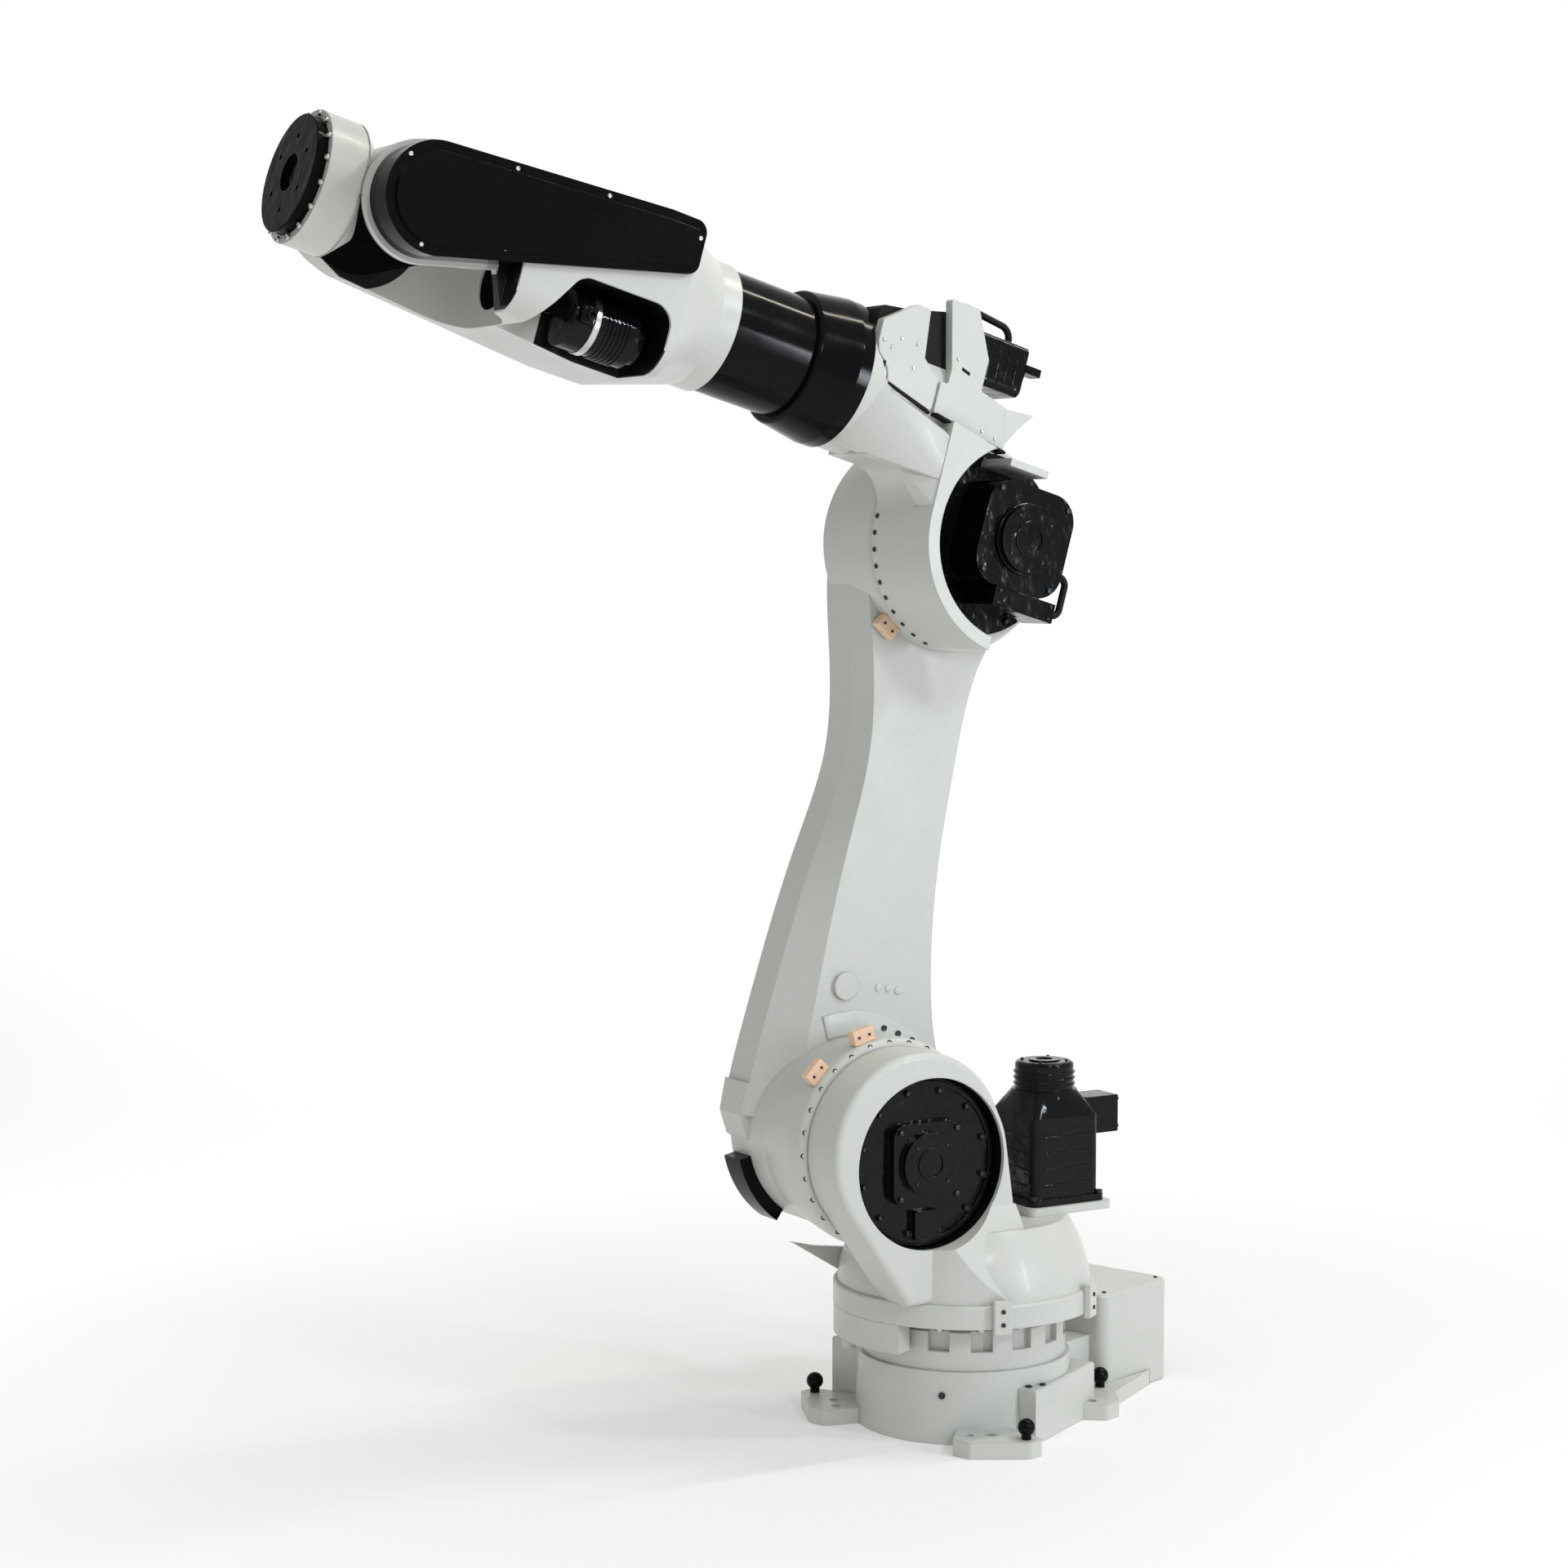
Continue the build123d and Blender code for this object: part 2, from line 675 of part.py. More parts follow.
def lower_arm_casting():
    """Curved beam between two drums, with a bevel that widens towards the foot."""
    widest = beam_outline(beam_fronts, foot_hub_radius, beam_rears)
    face = beam_outline(face_fronts, face_front_foot, face_rears)
    beam = side_slab(widest, beam_far, beam_edge)
    beam += loft([Pos(0, beam_edge, 0) * (Plane.XZ * widest), Pos(0, beam_near, 0) * (Plane.XZ * face)], ruled=True)
    foot = drum(foot_far_radius, beam_far, beam_near)
    foot = fillet(foot.edges().group_by(Axis.Y)[0], beam_far_edge)
    nose = make_face(Polyline(
        (0, nose_height), (nose_front, nose_height), (nose_front, 0), (nose_chin, -nose_chin_drop),
        (nose_heel, -nose_heel_drop), (0, -nose_heel_drop), close=True,
    ))
    foot += side_slab(nose, beam_far, beam_edge)
    hub = drum(foot_hub_radius, hub_flare_end, foot_near)
    hub = fillet(hub.edges().group_by(Axis.Y)[-1], foot_edge)
    flare = Rot(-90, 0, 0) * Cone(foot_far_radius, foot_hub_radius, hub_flare_end - beam_near)
    hub += Pos(0, (beam_near + hub_flare_end) / 2, 0) * flare
    head = drum(head_radius, beam_far, head_near, 0, lower_arm_length)
    head = fillet(head.edges().group_by(Axis.Y)[0], beam_far_edge)
    head = fillet(head.edges().group_by(Axis.Y)[-1], head_edge)
    boss = drum(lift_boss_radius, beam_near, beam_near + lift_boss_length, lift_boss_x,
                lift_boss_share * lower_arm_length)
    return beam + foot + hub + head + boss


def foot_cover():
    """Dark cover on the front of the foot drum, below the beam."""
    inner = foot_far_radius + seat_gap
    outer = inner + foot_cover_thickness
    sector = drum(outer, foot_cover_far, foot_cover_near) - drum(inner, foot_cover_far, foot_cover_near)
    above = block(-2 * outer, 2 * outer, foot_cover_far, foot_cover_near, 0, 2 * outer)
    below = block(-2 * outer, 2 * outer, foot_cover_far, foot_cover_near, -2 * outer, 0)
    sector -= Rot(0, foot_cover_start, 0) * above
    sector -= Rot(0, foot_cover_end, 0) * below
    return sector


def shoulder_bearing():
    """Bearing ring between the lower arm's foot and the shoulder housing."""
    return drum(bearing_radius, foot_near, shoulder_inner - running_gap)


def stop_blocks():
    """Stop blocks screwed to the rims of the foot and of the head."""
    blocks = []
    piece = block(-stop_block_length / 2, stop_block_length / 2, -stop_block_depth, 0, 0, stop_block_width)
    piece = fillet(piece.edges().group_by(Axis.Z)[-1], stop_block_edge)
    for angle in stop_block_angles:
        blocks.append(Rot(0, angle, 0) * Pos(0, foot_near - foot_edge, foot_hub_radius) * piece)
    blocks.append(Pos(0, 0, lower_arm_length) * Rot(0, head_block_angle, 0)
                  * Pos(0, head_near - head_edge, head_radius) * piece)
    return Compound(blocks)


def arm_end_caps():
    """Round covers on the far side of both drums."""
    caps = []
    for z in (0, lower_arm_length):
        seat = beam_far - seat_gap
        cap = drum(arm_cap_radius, seat - arm_cap_length, seat, 0, z)
        caps.append(fillet(cap.edges().group_by(Axis.Y)[0], arm_cap_edge))
    return Compound(caps)


# Elbow
def elbow_solid(grow):
    """Outside of the elbow casting before it is opened, grown by a clearance."""
    neck = shaft(neck_radius + grow, neck_rear - grow, neck_face, 0, forearm_offset)
    neck += Pos(neck_face - neck_flare / 2, 0, forearm_offset) * Rot(0, 90, 0) * Cone(
        neck_radius + grow, neck_face_radius + grow, neck_flare)
    neck += shaft(neck_keel_radius + grow, neck_rear - grow, neck_face, 0, forearm_offset - neck_keel_drop)
    neck -= drum(head_radius + swing_gap, beam_far, elbow_near)
    low = forearm_offset - neck_keel_drop - neck_keel_radius - grow
    high = forearm_offset + neck_radius + grow
    side = Circle(elbow_radius + grow)
    side += make_face(Polyline(
        (0, low), (gusset_front, low), (gusset_front, high), (neck_rear - grow, high),
        (neck_rear - grow, gusset_step_height + grow), (gusset_rear - grow, gusset_rear_height + grow),
        (0, gusset_rear_height + grow), close=True,
    ))
    inner_corner = side.vertices().sort_by_distance((elbow_radius, low, 0))[0]
    side = fillet(inner_corner, gusset_blend)
    gusset = side_slab(side, elbow_near, gusset_half_width + grow)
    front = drum(elbow_radius + grow, elbow_near, elbow_outer)
    behind = block(-2 * elbow_radius, elbow_rear - grow, elbow_near - overrun, elbow_outer + overrun,
                   -2 * elbow_radius, 2 * elbow_radius)
    above = make_face(Polyline(
        (-2 * elbow_radius, rear_plate_foot_height - cheek_gap + grow),
        (rear_plate_foot, rear_plate_foot_height - cheek_gap + grow),
        (slot_foot, plate_foot_height - cheek_gap + grow), (slot_foot, 2 * elbow_radius),
        (-2 * elbow_radius, 2 * elbow_radius), close=True,
    ))
    front -= side_slab(above, gusset_half_width + grow, elbow_outer + overrun)
    upper = block(-2 * elbow_radius, gusset_rear - grow, elbow_near + elbow_floor + grow, elbow_outer + overrun,
                  0, 2 * elbow_radius)
    cheek = make_face(Polyline(
        (gusset_rear - grow, 0), (elbow_radius + grow, 0),
        (elbow_radius + grow, plate_foot_height - cheek_gap + grow),
        (gusset_rear - grow, rear_plate_foot_height - cheek_gap + grow), close=True,
    ))
    body = front + gusset + side_slab(cheek, elbow_near, elbow_outer) - behind - upper
    return body + drum(elbow_back_radius + grow, elbow_near, elbow_near + elbow_floor) + neck


def elbow_casting():
    """Elbow drum, open to the side and the rear, that runs into the forearm's neck."""
    body = elbow_solid(0)
    cavity = elbow_radius - elbow_wall
    return body - drum(cavity, elbow_near + elbow_floor, elbow_outer + overrun)


def j3_motor():
    """Elbow motor that fills the open drum."""
    floor = elbow_near + elbow_floor
    body_front = floor + j3_plate_thickness + j3_motor_length
    motor = drum(j3_plate_radius, floor, floor + j3_plate_thickness)
    section = Pos(j3_motor_x, j3_motor_z) * RectangleRounded(j3_motor_size, j3_motor_size, j3_motor_corner)
    motor += side_slab(section, floor, body_front)
    motor += drum(j3_cap_radius, body_front, body_front + j3_cap_length, j3_motor_x, j3_motor_z)
    return motor


def j3_junction_box():
    """Flat junction box under the elbow motor."""
    floor = elbow_near + elbow_floor + j3_plate_thickness
    top = j3_motor_z - j3_motor_size / 2 - seat_gap
    return block(
        j3_box_x - j3_box_length / 2, j3_box_x + j3_box_length / 2, floor, floor + j3_box_width,
        top - j3_box_height, top,
    )


def front_plates():
    """Plates on both sides of the neck, next to the drive ring."""
    outline = rounded([
        (pack_front, front_plate_front_height), (pack_front, front_plate_nose_height),
        (front_plate_nose, front_plate_top), (slot_front, front_plate_top),
        (slot_front_foot, slot_waist_height), (slot_foot + slot_gap, slot_foot_height),
        (slot_foot + slot_gap, plate_foot_height), (front_plate_step, front_plate_step_height),
    ], side_plate_corner)
    return side_plates(outline)


def rear_plates():
    """Plates on both sides of the neck, towards the elbow motor."""
    outline = rounded([
        (slot_rear, rear_plate_top), (rear_plate_top_rear, rear_plate_top),
        (rear_plate_back, rear_plate_back_height), (rear_plate_back, rear_plate_notch_height),
        (rear_plate_heel, rear_plate_heel_height), (rear_plate_foot, rear_plate_foot_height),
        (slot_foot, plate_foot_height), (slot_foot, slot_foot_height), (slot_rear_foot, slot_foot_height),
        (slot_rear_foot, slot_waist_height),
    ], side_plate_corner)
    return side_plates(outline)


def side_plates(outline):
    """One side plate and its mirror image, cut clear of the casting and of the lower arm."""
    plate = side_slab(outline, plate_far - side_plate_thickness, plate_far)
    casting = elbow_solid(seat_gap)
    far = mirror(plate, about=Plane.XZ) - drum(head_radius + swing_gap, -plate_far - overrun, elbow_near)
    return Compound([plate - casting, far - casting])


def rear_fins():
    """Bracket with a bent-out lip behind the rear plate, and the flat guard over the elbow motor."""
    near = plate_far - side_plate_thickness - seat_gap
    bracket = make_face(Polyline(
        (rear_plate_heel + fin_lap, rear_plate_heel_height),
        (upper_fin_rear, rear_plate_heel_height + upper_fin_rise),
        (upper_fin_waist, rear_plate_heel_height - upper_fin_waist_drop), (rear_plate_foot, rear_plate_foot_height),
        (rear_plate_foot + fin_lap, rear_plate_foot_height), close=True,
    ))
    upper = side_slab(bracket, fin_far, near) - elbow_solid(seat_gap)
    wall = elbow_near + elbow_floor + j3_plate_thickness + seat_gap
    lower = block(lower_fin_rear, lower_fin_front, wall, near,
                  rear_plate_foot_height - lower_fin_thickness, rear_plate_foot_height)
    return Compound([upper, lower])


def cable_pack():
    """Dark core between the side plates."""
    outline = rounded([
        (neck_rear, forearm_offset), (pack_front, forearm_offset), (pack_front, pack_top_front - pack_edge),
        (front_plate_nose, pack_top_front), (rear_plate_top_rear, pack_top), (neck_rear, rear_plate_back_height),
    ], pack_edge)
    inner = plate_far - side_plate_thickness - seat_gap
    return side_slab(outline, -inner, inner) - elbow_solid(seat_gap)


def j4_motor():
    """Forearm-turning motor behind the core."""
    section = RectangleRounded(j4_motor_size, j4_motor_size, j4_motor_corner)
    front = neck_rear - seat_gap
    motor = Pos(j4_motor_rear, 0, 0) * Rot(0, 90, 0) * extrude(section, amount=front - j4_motor_rear)
    motor += shaft(j4_cap_radius, j4_motor_rear - j4_cap_length, j4_motor_rear)
    half = j4_plug_size / 2
    motor += block(j4_motor_rear - j4_plug_length, j4_motor_rear, j4_cap_radius - half, j4_cap_radius + half, 0, half)
    return Pos(0, j4_motor_y, j4_motor_z) * motor


def motor_cables():
    """Leads clipped between the core and the forearm motor, and between the elbow motor and its box."""
    low = j4_motor_z + j4_motor_size / 2
    high = pack_top + j4_cable_rise
    loop = FilletPolyline(
        (j4_cable_rear, j4_motor_y, low), (j4_cable_rear, j4_motor_y, high - j4_cable_bend / 2),
        (j4_cable_front, j4_motor_y, high), (j4_cable_front, j4_motor_y, pack_top), radius=j4_cable_bend,
    )
    upper = sweep(Plane(loop @ 0, z_dir=loop % 0) * Circle(cable_radius), loop)
    rear = j3_motor_x - j3_motor_size / 2
    box_rear_end = j3_box_x - j3_box_length / 2
    foot = j3_motor_z - j3_motor_size / 2 - seat_gap - j3_box_height / 2
    bow = FilletPolyline(
        (rear, j3_cable_y, j3_cable_top), (rear - j3_cable_bow, j3_cable_y, j3_cable_top),
        (rear - j3_cable_bow, j3_cable_y, foot), (box_rear_end, j3_cable_y, foot), radius=j3_cable_bend,
    )
    lower = sweep(Plane(bow @ 0, z_dir=bow % 0) * Circle(cable_radius), bow)
    return Compound([*upper.solids(), *lower.solids()])


# Forearm
def forearm_ring():
    """Drive ring that turns on the elbow's neck."""
    ring = turned([
        (0, neck_face + running_gap), (ring_outer_radius, neck_face + running_gap),
        (ring_outer_radius, ring_shoulder),
        (ring_nose_radius, ring_front), (0, ring_front),
    ])
    ring = fillet(ring.edges().group_by(Axis.Z)[-1], ring_edge)
    return Pos(0, 0, forearm_offset) * Rot(0, 90, 0) * ring


def forearm_tube():
    """Dark tube between the drive ring and the wrist housing."""
    return shaft(tube_radius, ring_front, collar_rear, 0, forearm_offset)


def hand_section(share, half_width, low, high, corner):
    """Rounded section of the wrist housing across the forearm."""
    section = RectangleRounded(high - low, 2 * half_width, corner)
    x = ring_front + share * forearm_span
    return Pos(x, 0, (low + high) / 2) * Rot(0, 90, 0) * section


def wrist_housing():
    """Forked housing: round collar, flaring hand with a side window, two fork arms."""
    collar_low = forearm_offset - collar_radius
    collar_high = forearm_offset + collar_radius
    end_share = (wrist_reach + tip_radius - ring_front) / forearm_span
    tip_low = forearm_offset - tip_radius
    tip_high = forearm_offset + tip_radius
    body = loft([
        hand_section(flare_share, collar_radius, collar_low, collar_high, flare_corner),
        hand_section(hand_share, hand_half_width, hand_bottom, hand_top, hand_corner),
        hand_section(deep_share, hand_half_width, hand_bottom, hand_top, hand_corner),
        hand_section(end_share, hand_half_width, tip_low, tip_high, tip_corner),
    ], ruled=True)
    flare = ring_front + flare_share * forearm_span
    tip = Pos(wrist_reach, forearm_offset) * Circle(tip_radius)
    reach = Line((flare, -forearm_offset), (flare, 2 * forearm_offset + tip_radius))
    body = body & side_slab(make_hull([*tip.edges(), reach]), -hand_half_width - overrun, hand_half_width + overrun)
    body += shaft(collar_radius, collar_rear, flare + overrun, 0, forearm_offset)
    gap = rounded([
        (fork_root, -fork_gap), (wrist_reach * 2, -fork_gap), (wrist_reach * 2, fork_gap), (fork_root, fork_gap),
    ], fork_root_radius)
    body -= flat_slab(gap, -forearm_offset, 3 * forearm_offset)
    lean = window_lean_share * window_length
    window = rounded([
        (window_rear, 0), (window_front, 0), (window_front, window_top - window_slope),
        (window_front - lean, window_top), (window_rear, window_top),
    ], window_corner)
    body -= side_slab(window, hand_half_width - window_depth, hand_half_width + overrun)
    flank = Spline(
        (ring_front + bay_share * forearm_span, forearm_offset),
        (ring_front + bay_mid_share * forearm_span, forearm_offset - bay_mid_drop),
        (ring_front + bay_foot_share * forearm_span, 0),
    )
    far = wrist_reach + 2 * tip_radius
    rest = Polyline(flank @ 1, (far, 0), (far, forearm_offset), flank @ 0)
    bay = make_face([flank, *rest.edges()]) - offset(cover_outline(), bay_rim)
    body -= side_slab(bay, 0, hand_half_width + overrun)
    body -= shaft(well_radius, fork_root - well_depth, fork_root + overrun, well_y, well_z)
    return body - hood_space(hand_half_width + overrun)


def hood_space(y_to):
    """Room of the cover's deep part at the wrist end of the near fork arm."""
    start = wrist_reach - hood_length
    return block(start, wrist_reach + 2 * tip_radius, hood_floor, y_to, -forearm_offset, 3 * forearm_offset)


def cover_outline():
    """Side view of the belt cover: round at the wrist, square at the other end."""
    tip = Pos(wrist_reach, forearm_offset) * Circle(cover_tip_radius)
    end = RectangleRounded(2 * pulley_half, 2 * pulley_half, cover_corner)
    end = Pos(ring_front + pulley_share * forearm_span, pulley_z) * end
    return make_hull([*tip.edges(), *end.edges()])


def belt_cover():
    """Belt cover on the near fork arm, deep at the wrist end, with its raised panel."""
    outline = cover_outline()
    cover = side_slab(outline, hand_half_width, hand_half_width + cover_thickness)
    cover += side_slab(outline, hood_floor, hand_half_width) & hood_space(hand_half_width)
    panel = offset(outline, -cover_panel_inset)
    top = hand_half_width + cover_thickness + cover_panel_rise
    return cover + side_slab(panel, hand_half_width, top)


def far_fork_cover():
    """Round cover on the far fork arm."""
    return drum(far_cover_radius, -hand_half_width - far_cover_thickness, -hand_half_width,
                wrist_reach, forearm_offset)


def hand_motor():
    """Wrist motor seen through the window of the housing, and the drive at the root of the fork."""
    x = window_rear + hand_motor_place_share * window_length
    rear = x - hand_motor_length / 2
    motor = shaft(hand_motor_radius, rear, x + hand_motor_length / 2)
    motor += shaft(hand_motor_cap_radius, rear - hand_motor_cap_length, rear)
    motor = Pos(0, hand_motor_y, hand_motor_z) * motor
    floor = hand_half_width - window_depth + seat_gap
    half = hand_motor_saddle / 2
    motor += block(x - half, x + half, floor, hand_motor_y, hand_motor_z - half, hand_motor_z + half)
    drive = shaft(well_radius - seat_gap, fork_root - well_depth + seat_gap, fork_root - well_floor, well_y, well_z)
    return Compound([motor.solid(), drive])


# Wrist and tool flange
def wrist_barrel():
    """Dark gear barrel on the wrist axis, between the fork arms."""
    barrel = drum(barrel_radius, -fork_gap + running_gap, fork_gap - running_gap)
    barrel = fillet(barrel.edges().group_by(Axis.Y)[-1], barrel_edge)
    return barrel - wrist_solid(seat_gap)


def wrist_body():
    """Hub on the wrist axis with the neck and the round tool housing."""
    groove = shaft(head_housing_radius + overrun, head_housing_step, head_housing_step + head_seam_width)
    groove -= shaft(head_housing_radius - head_seam_depth, head_housing_step, head_housing_step + head_seam_width)
    return wrist_solid(0) - groove


def wrist_solid(grow):
    """Outside of the wrist body, grown by a clearance."""
    hub = drum(hub_radius + grow, barrel_inner - grow, fork_gap - running_gap)
    hub -= block(-2 * hub_radius, 2 * hub_radius, -2 * fork_gap, 2 * fork_gap, -2 * hub_radius, -hub_drop - grow)
    neck = shaft(neck_tube_radius + grow, 0, head_housing_step)
    section = make_face(Polyline(
        (0, head_housing_rear - grow), (head_housing_rear_radius + grow, head_housing_rear - grow),
        (head_housing_radius + grow, head_housing_step), (head_housing_radius + grow, head_housing_front),
        (0, head_housing_front), close=True,
    ))
    head = Rot(0, 90, 0) * revolve(Plane.XZ * section, Axis.Z)
    return hub + neck + head


def tool_flange():
    """Tool flange with its pilot bore and bolt circle."""
    disc = shaft(tool_radius, head_housing_front + running_gap, flange_reach)
    disc = fillet(disc.edges().group_by(Axis.X)[-1], tool_edge)
    disc -= shaft(tool_pilot_radius, flange_reach - tool_pilot_depth, flange_reach + overrun)
    for index in range(tool_bolt_count):
        hole = shaft(tool_bolt_radius, head_housing_front + overrun, flange_reach + overrun, 0, tool_pcd_radius)
        disc -= Rot(index * 360 / tool_bolt_count, 0, 0) * hole
    return disc


bodies = {
    Location(): (base_casting, base_ring, side_blocks, rear_connector_box, connector_plate, anchor_caps),
    arm_frame: (turret_casting, stop_skirt, stop_brackets, motor_shelf, j1_motor, j1_motor_plug, j2_motor),
    lower_frame: (lower_arm_casting, shoulder_bearing, foot_cover, stop_blocks, arm_end_caps),
    elbow_frame: (
        elbow_casting, j3_motor, j3_junction_box, front_plates, rear_plates, rear_fins, cable_pack, j4_motor,
        motor_cables,
        forearm_ring, forearm_tube, wrist_housing, belt_cover, far_fork_cover, hand_motor,
    ),
    wrist_frame: (wrist_barrel, wrist_body, tool_flange),
}

os.makedirs("parts", exist_ok=True)
for frame, makers in bodies.items():
    for maker in makers:
        export_step(frame * maker(), f"parts/{maker.__name__}.step")
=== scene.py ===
"""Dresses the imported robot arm: paint, gloss black, fasteners, studio light and the camera."""

from __future__ import annotations

import json
import logging
import math
from dataclasses import dataclass, field
from enum import Enum

import bmesh
import bpy
from mathutils import Matrix, Vector


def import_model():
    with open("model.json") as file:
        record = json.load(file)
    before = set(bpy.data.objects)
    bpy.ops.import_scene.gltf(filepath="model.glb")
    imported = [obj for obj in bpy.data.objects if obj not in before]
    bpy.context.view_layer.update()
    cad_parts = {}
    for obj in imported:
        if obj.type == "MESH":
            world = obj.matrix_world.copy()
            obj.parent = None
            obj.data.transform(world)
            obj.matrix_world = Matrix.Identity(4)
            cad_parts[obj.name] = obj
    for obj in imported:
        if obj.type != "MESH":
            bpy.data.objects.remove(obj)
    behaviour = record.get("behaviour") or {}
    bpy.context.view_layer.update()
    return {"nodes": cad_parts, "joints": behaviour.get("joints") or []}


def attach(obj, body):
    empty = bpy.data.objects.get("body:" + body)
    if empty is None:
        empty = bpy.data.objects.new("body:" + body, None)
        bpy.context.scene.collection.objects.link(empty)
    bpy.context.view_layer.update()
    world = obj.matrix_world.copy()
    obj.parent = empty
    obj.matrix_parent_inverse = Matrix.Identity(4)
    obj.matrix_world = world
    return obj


Pair = tuple[float, float]
Point = tuple[float, float, float]
Span = tuple[Point, Point]
Colour = tuple[float, float, float]

LOG = logging.getLogger("robot_arm")
SMOOTH_ANGLE = math.radians(32)
MERGE_DISTANCE = 1e-6
MM_PER_M = 1000
WHITE: Colour = (1.0, 1.0, 1.0)


class Head(Enum):
    """Kinds of screw head, with the number of sides and the share of the radius at the top."""

    SOCKET = (18, 0.97)
    HEX = (6, 0.97)
    BUTTON = (18, 0.72)


class Way(Enum):
    """Directions in a body's frame, with the axis and its sign."""

    AHEAD = (0, 1)
    BACK = (0, -1)
    NEAR = (1, 1)
    FAR = (1, -1)
    UP = (2, 1)


class Section(Enum):
    """Section of a dark pocket across the arm."""

    SQUARE = "square"
    ROUND = "round"


@dataclass(frozen=True)
class Graph:
    """Small helper that adds and joins nodes of one node tree."""

    tree: bpy.types.NodeTree

    def add(self, kind: str, **inputs: object) -> bpy.types.Node:
        """Adds a node and sets its input sockets by name.

        Args:
            kind: Blender's name of the node type.
            inputs: Socket names, with underscores for spaces, and their values.

        Returns:
            The new node.
        """
        node = self.tree.nodes.new(kind)
        for name, value in inputs.items():
            node.inputs[name.replace("_", " ")].default_value = value
        return node

    def join(self, source: bpy.types.NodeSocket, target: bpy.types.NodeSocket) -> None:
        """Links an output socket to an input socket."""
        self.tree.links.new(source, target)

    def math(self, operation: str, *values: bpy.types.NodeSocket | float) -> bpy.types.NodeSocket:
        """Adds a math node.

        Args:
            operation: Its operation.
            values: Sockets to join, or constants for its inputs.

        Returns:
            Its output.
        """
        node = self.tree.nodes.new("ShaderNodeMath")
        node.operation = operation
        for index, value in enumerate(values):
            if isinstance(value, bpy.types.NodeSocket):
                self.join(value, node.inputs[index])
            else:
                node.inputs[index].default_value = value
        return node.outputs["Value"]

    def vector(
        self, operation: str, source: bpy.types.NodeSocket, other: Vector | None = None
    ) -> bpy.types.Node:
        """Adds a vector math node.

        Args:
            operation: Its operation.
            source: The vector to join.
            other: A constant second vector, if there is one.

        Returns:
            The node.
        """
        node = self.tree.nodes.new("ShaderNodeVectorMath")
        node.operation = operation
        self.join(source, node.inputs[0])
        if other is not None:
            node.inputs[1].default_value = other
        return node

    def remap(
        self, value: bpy.types.NodeSocket, source: Pair, target: Pair = (0.0, 1.0)
    ) -> bpy.types.NodeSocket:
        """Maps a value from one range to another and clamps it there.

        Args:
            value: The value.
            source: Range that it comes from.
            target: Range that it goes to.

        Returns:
            The mapped value.
        """
        node = self.add("ShaderNodeMapRange", From_Min=source[0], From_Max=source[1],
                        To_Min=target[0], To_Max=target[1])
        self.join(value, node.inputs["Value"])
        return node.outputs["Result"]

    def ramp(
        self, value: bpy.types.NodeSocket, first: tuple[float, Colour], last: tuple[float, Colour]
    ) -> bpy.types.NodeSocket:
        """Blends two colours by a value.

        Args:
            value: The value.
            first: Value and colour at the start of the blend.
            last: Value and colour at its end.

        Returns:
            The colour.
        """
        node = self.add("ShaderNodeValToRGB")
        for stop, (position, colour) in zip(node.color_ramp.elements, (first, last)):
            stop.position = position
            stop.color = (*colour, 1.0)
        self.join(value, node.inputs["Fac"])
        return node.outputs["Color"]


@dataclass(frozen=True)
class Noise:
    """A noise texture, with its scale as a multiple of the finish's own."""

    step: float
    detail: float
    roughness: float = 0.5

    def value(
        self, graph: Graph, place: bpy.types.NodeSocket, scale: float
    ) -> bpy.types.NodeSocket:
        """Adds the texture.

        Args:
            graph: The material's nodes.
            place: Object coordinates.
            scale: The finish's scale.

        Returns:
            Its value.
        """
        node = graph.add("ShaderNodeTexNoise", Scale=scale * self.step, Detail=self.detail,
                         Roughness=self.roughness)
        graph.join(place, node.inputs["Vector"])
        return node.outputs["Fac"]


@dataclass(frozen=True)
class ShadePocket:
    """Inside or face of a casting painted black as painted shade, as a box or a drum in a body's
    frame.
    """

    frame: Matrix
    low: Point
    high: Point
    section: Section = Section.SQUARE

    def mask(self, graph: Graph, place: bpy.types.NodeSocket) -> bpy.types.NodeSocket:
        """Builds the mask of this pocket.

        Args:
            graph: The material's nodes.
            place: Object coordinates.

        Returns:
            A socket that is one inside the pocket and zero elsewhere.
        """
        low = Vector(self.low) / MM_PER_M
        high = Vector(self.high) / MM_PER_M
        half = (high - low) / 2
        middle = self.frame @ ((low + high) / 2)
        offset = graph.vector("SUBTRACT", place, middle).outputs["Vector"]
        turn = self.frame.to_3x3()
        x, y, z = (graph.vector("DOT_PRODUCT", offset, column).outputs["Value"]
                   for column in turn.col)
        across = graph.math("COMPARE", y, 0.0, half.y)
        if self.section is Section.ROUND:
            squares = graph.math("ADD", graph.math("POWER", x, 2.0), graph.math("POWER", z, 2.0))
            inside = graph.math("LESS_THAN", graph.math("SQRT", squares), half.x)
        else:
            inside = graph.math("MULTIPLY", graph.math("COMPARE", x, 0.0, half.x),
                                graph.math("COMPARE", z, 0.0, half.z))
        return graph.math("MULTIPLY", across, inside)


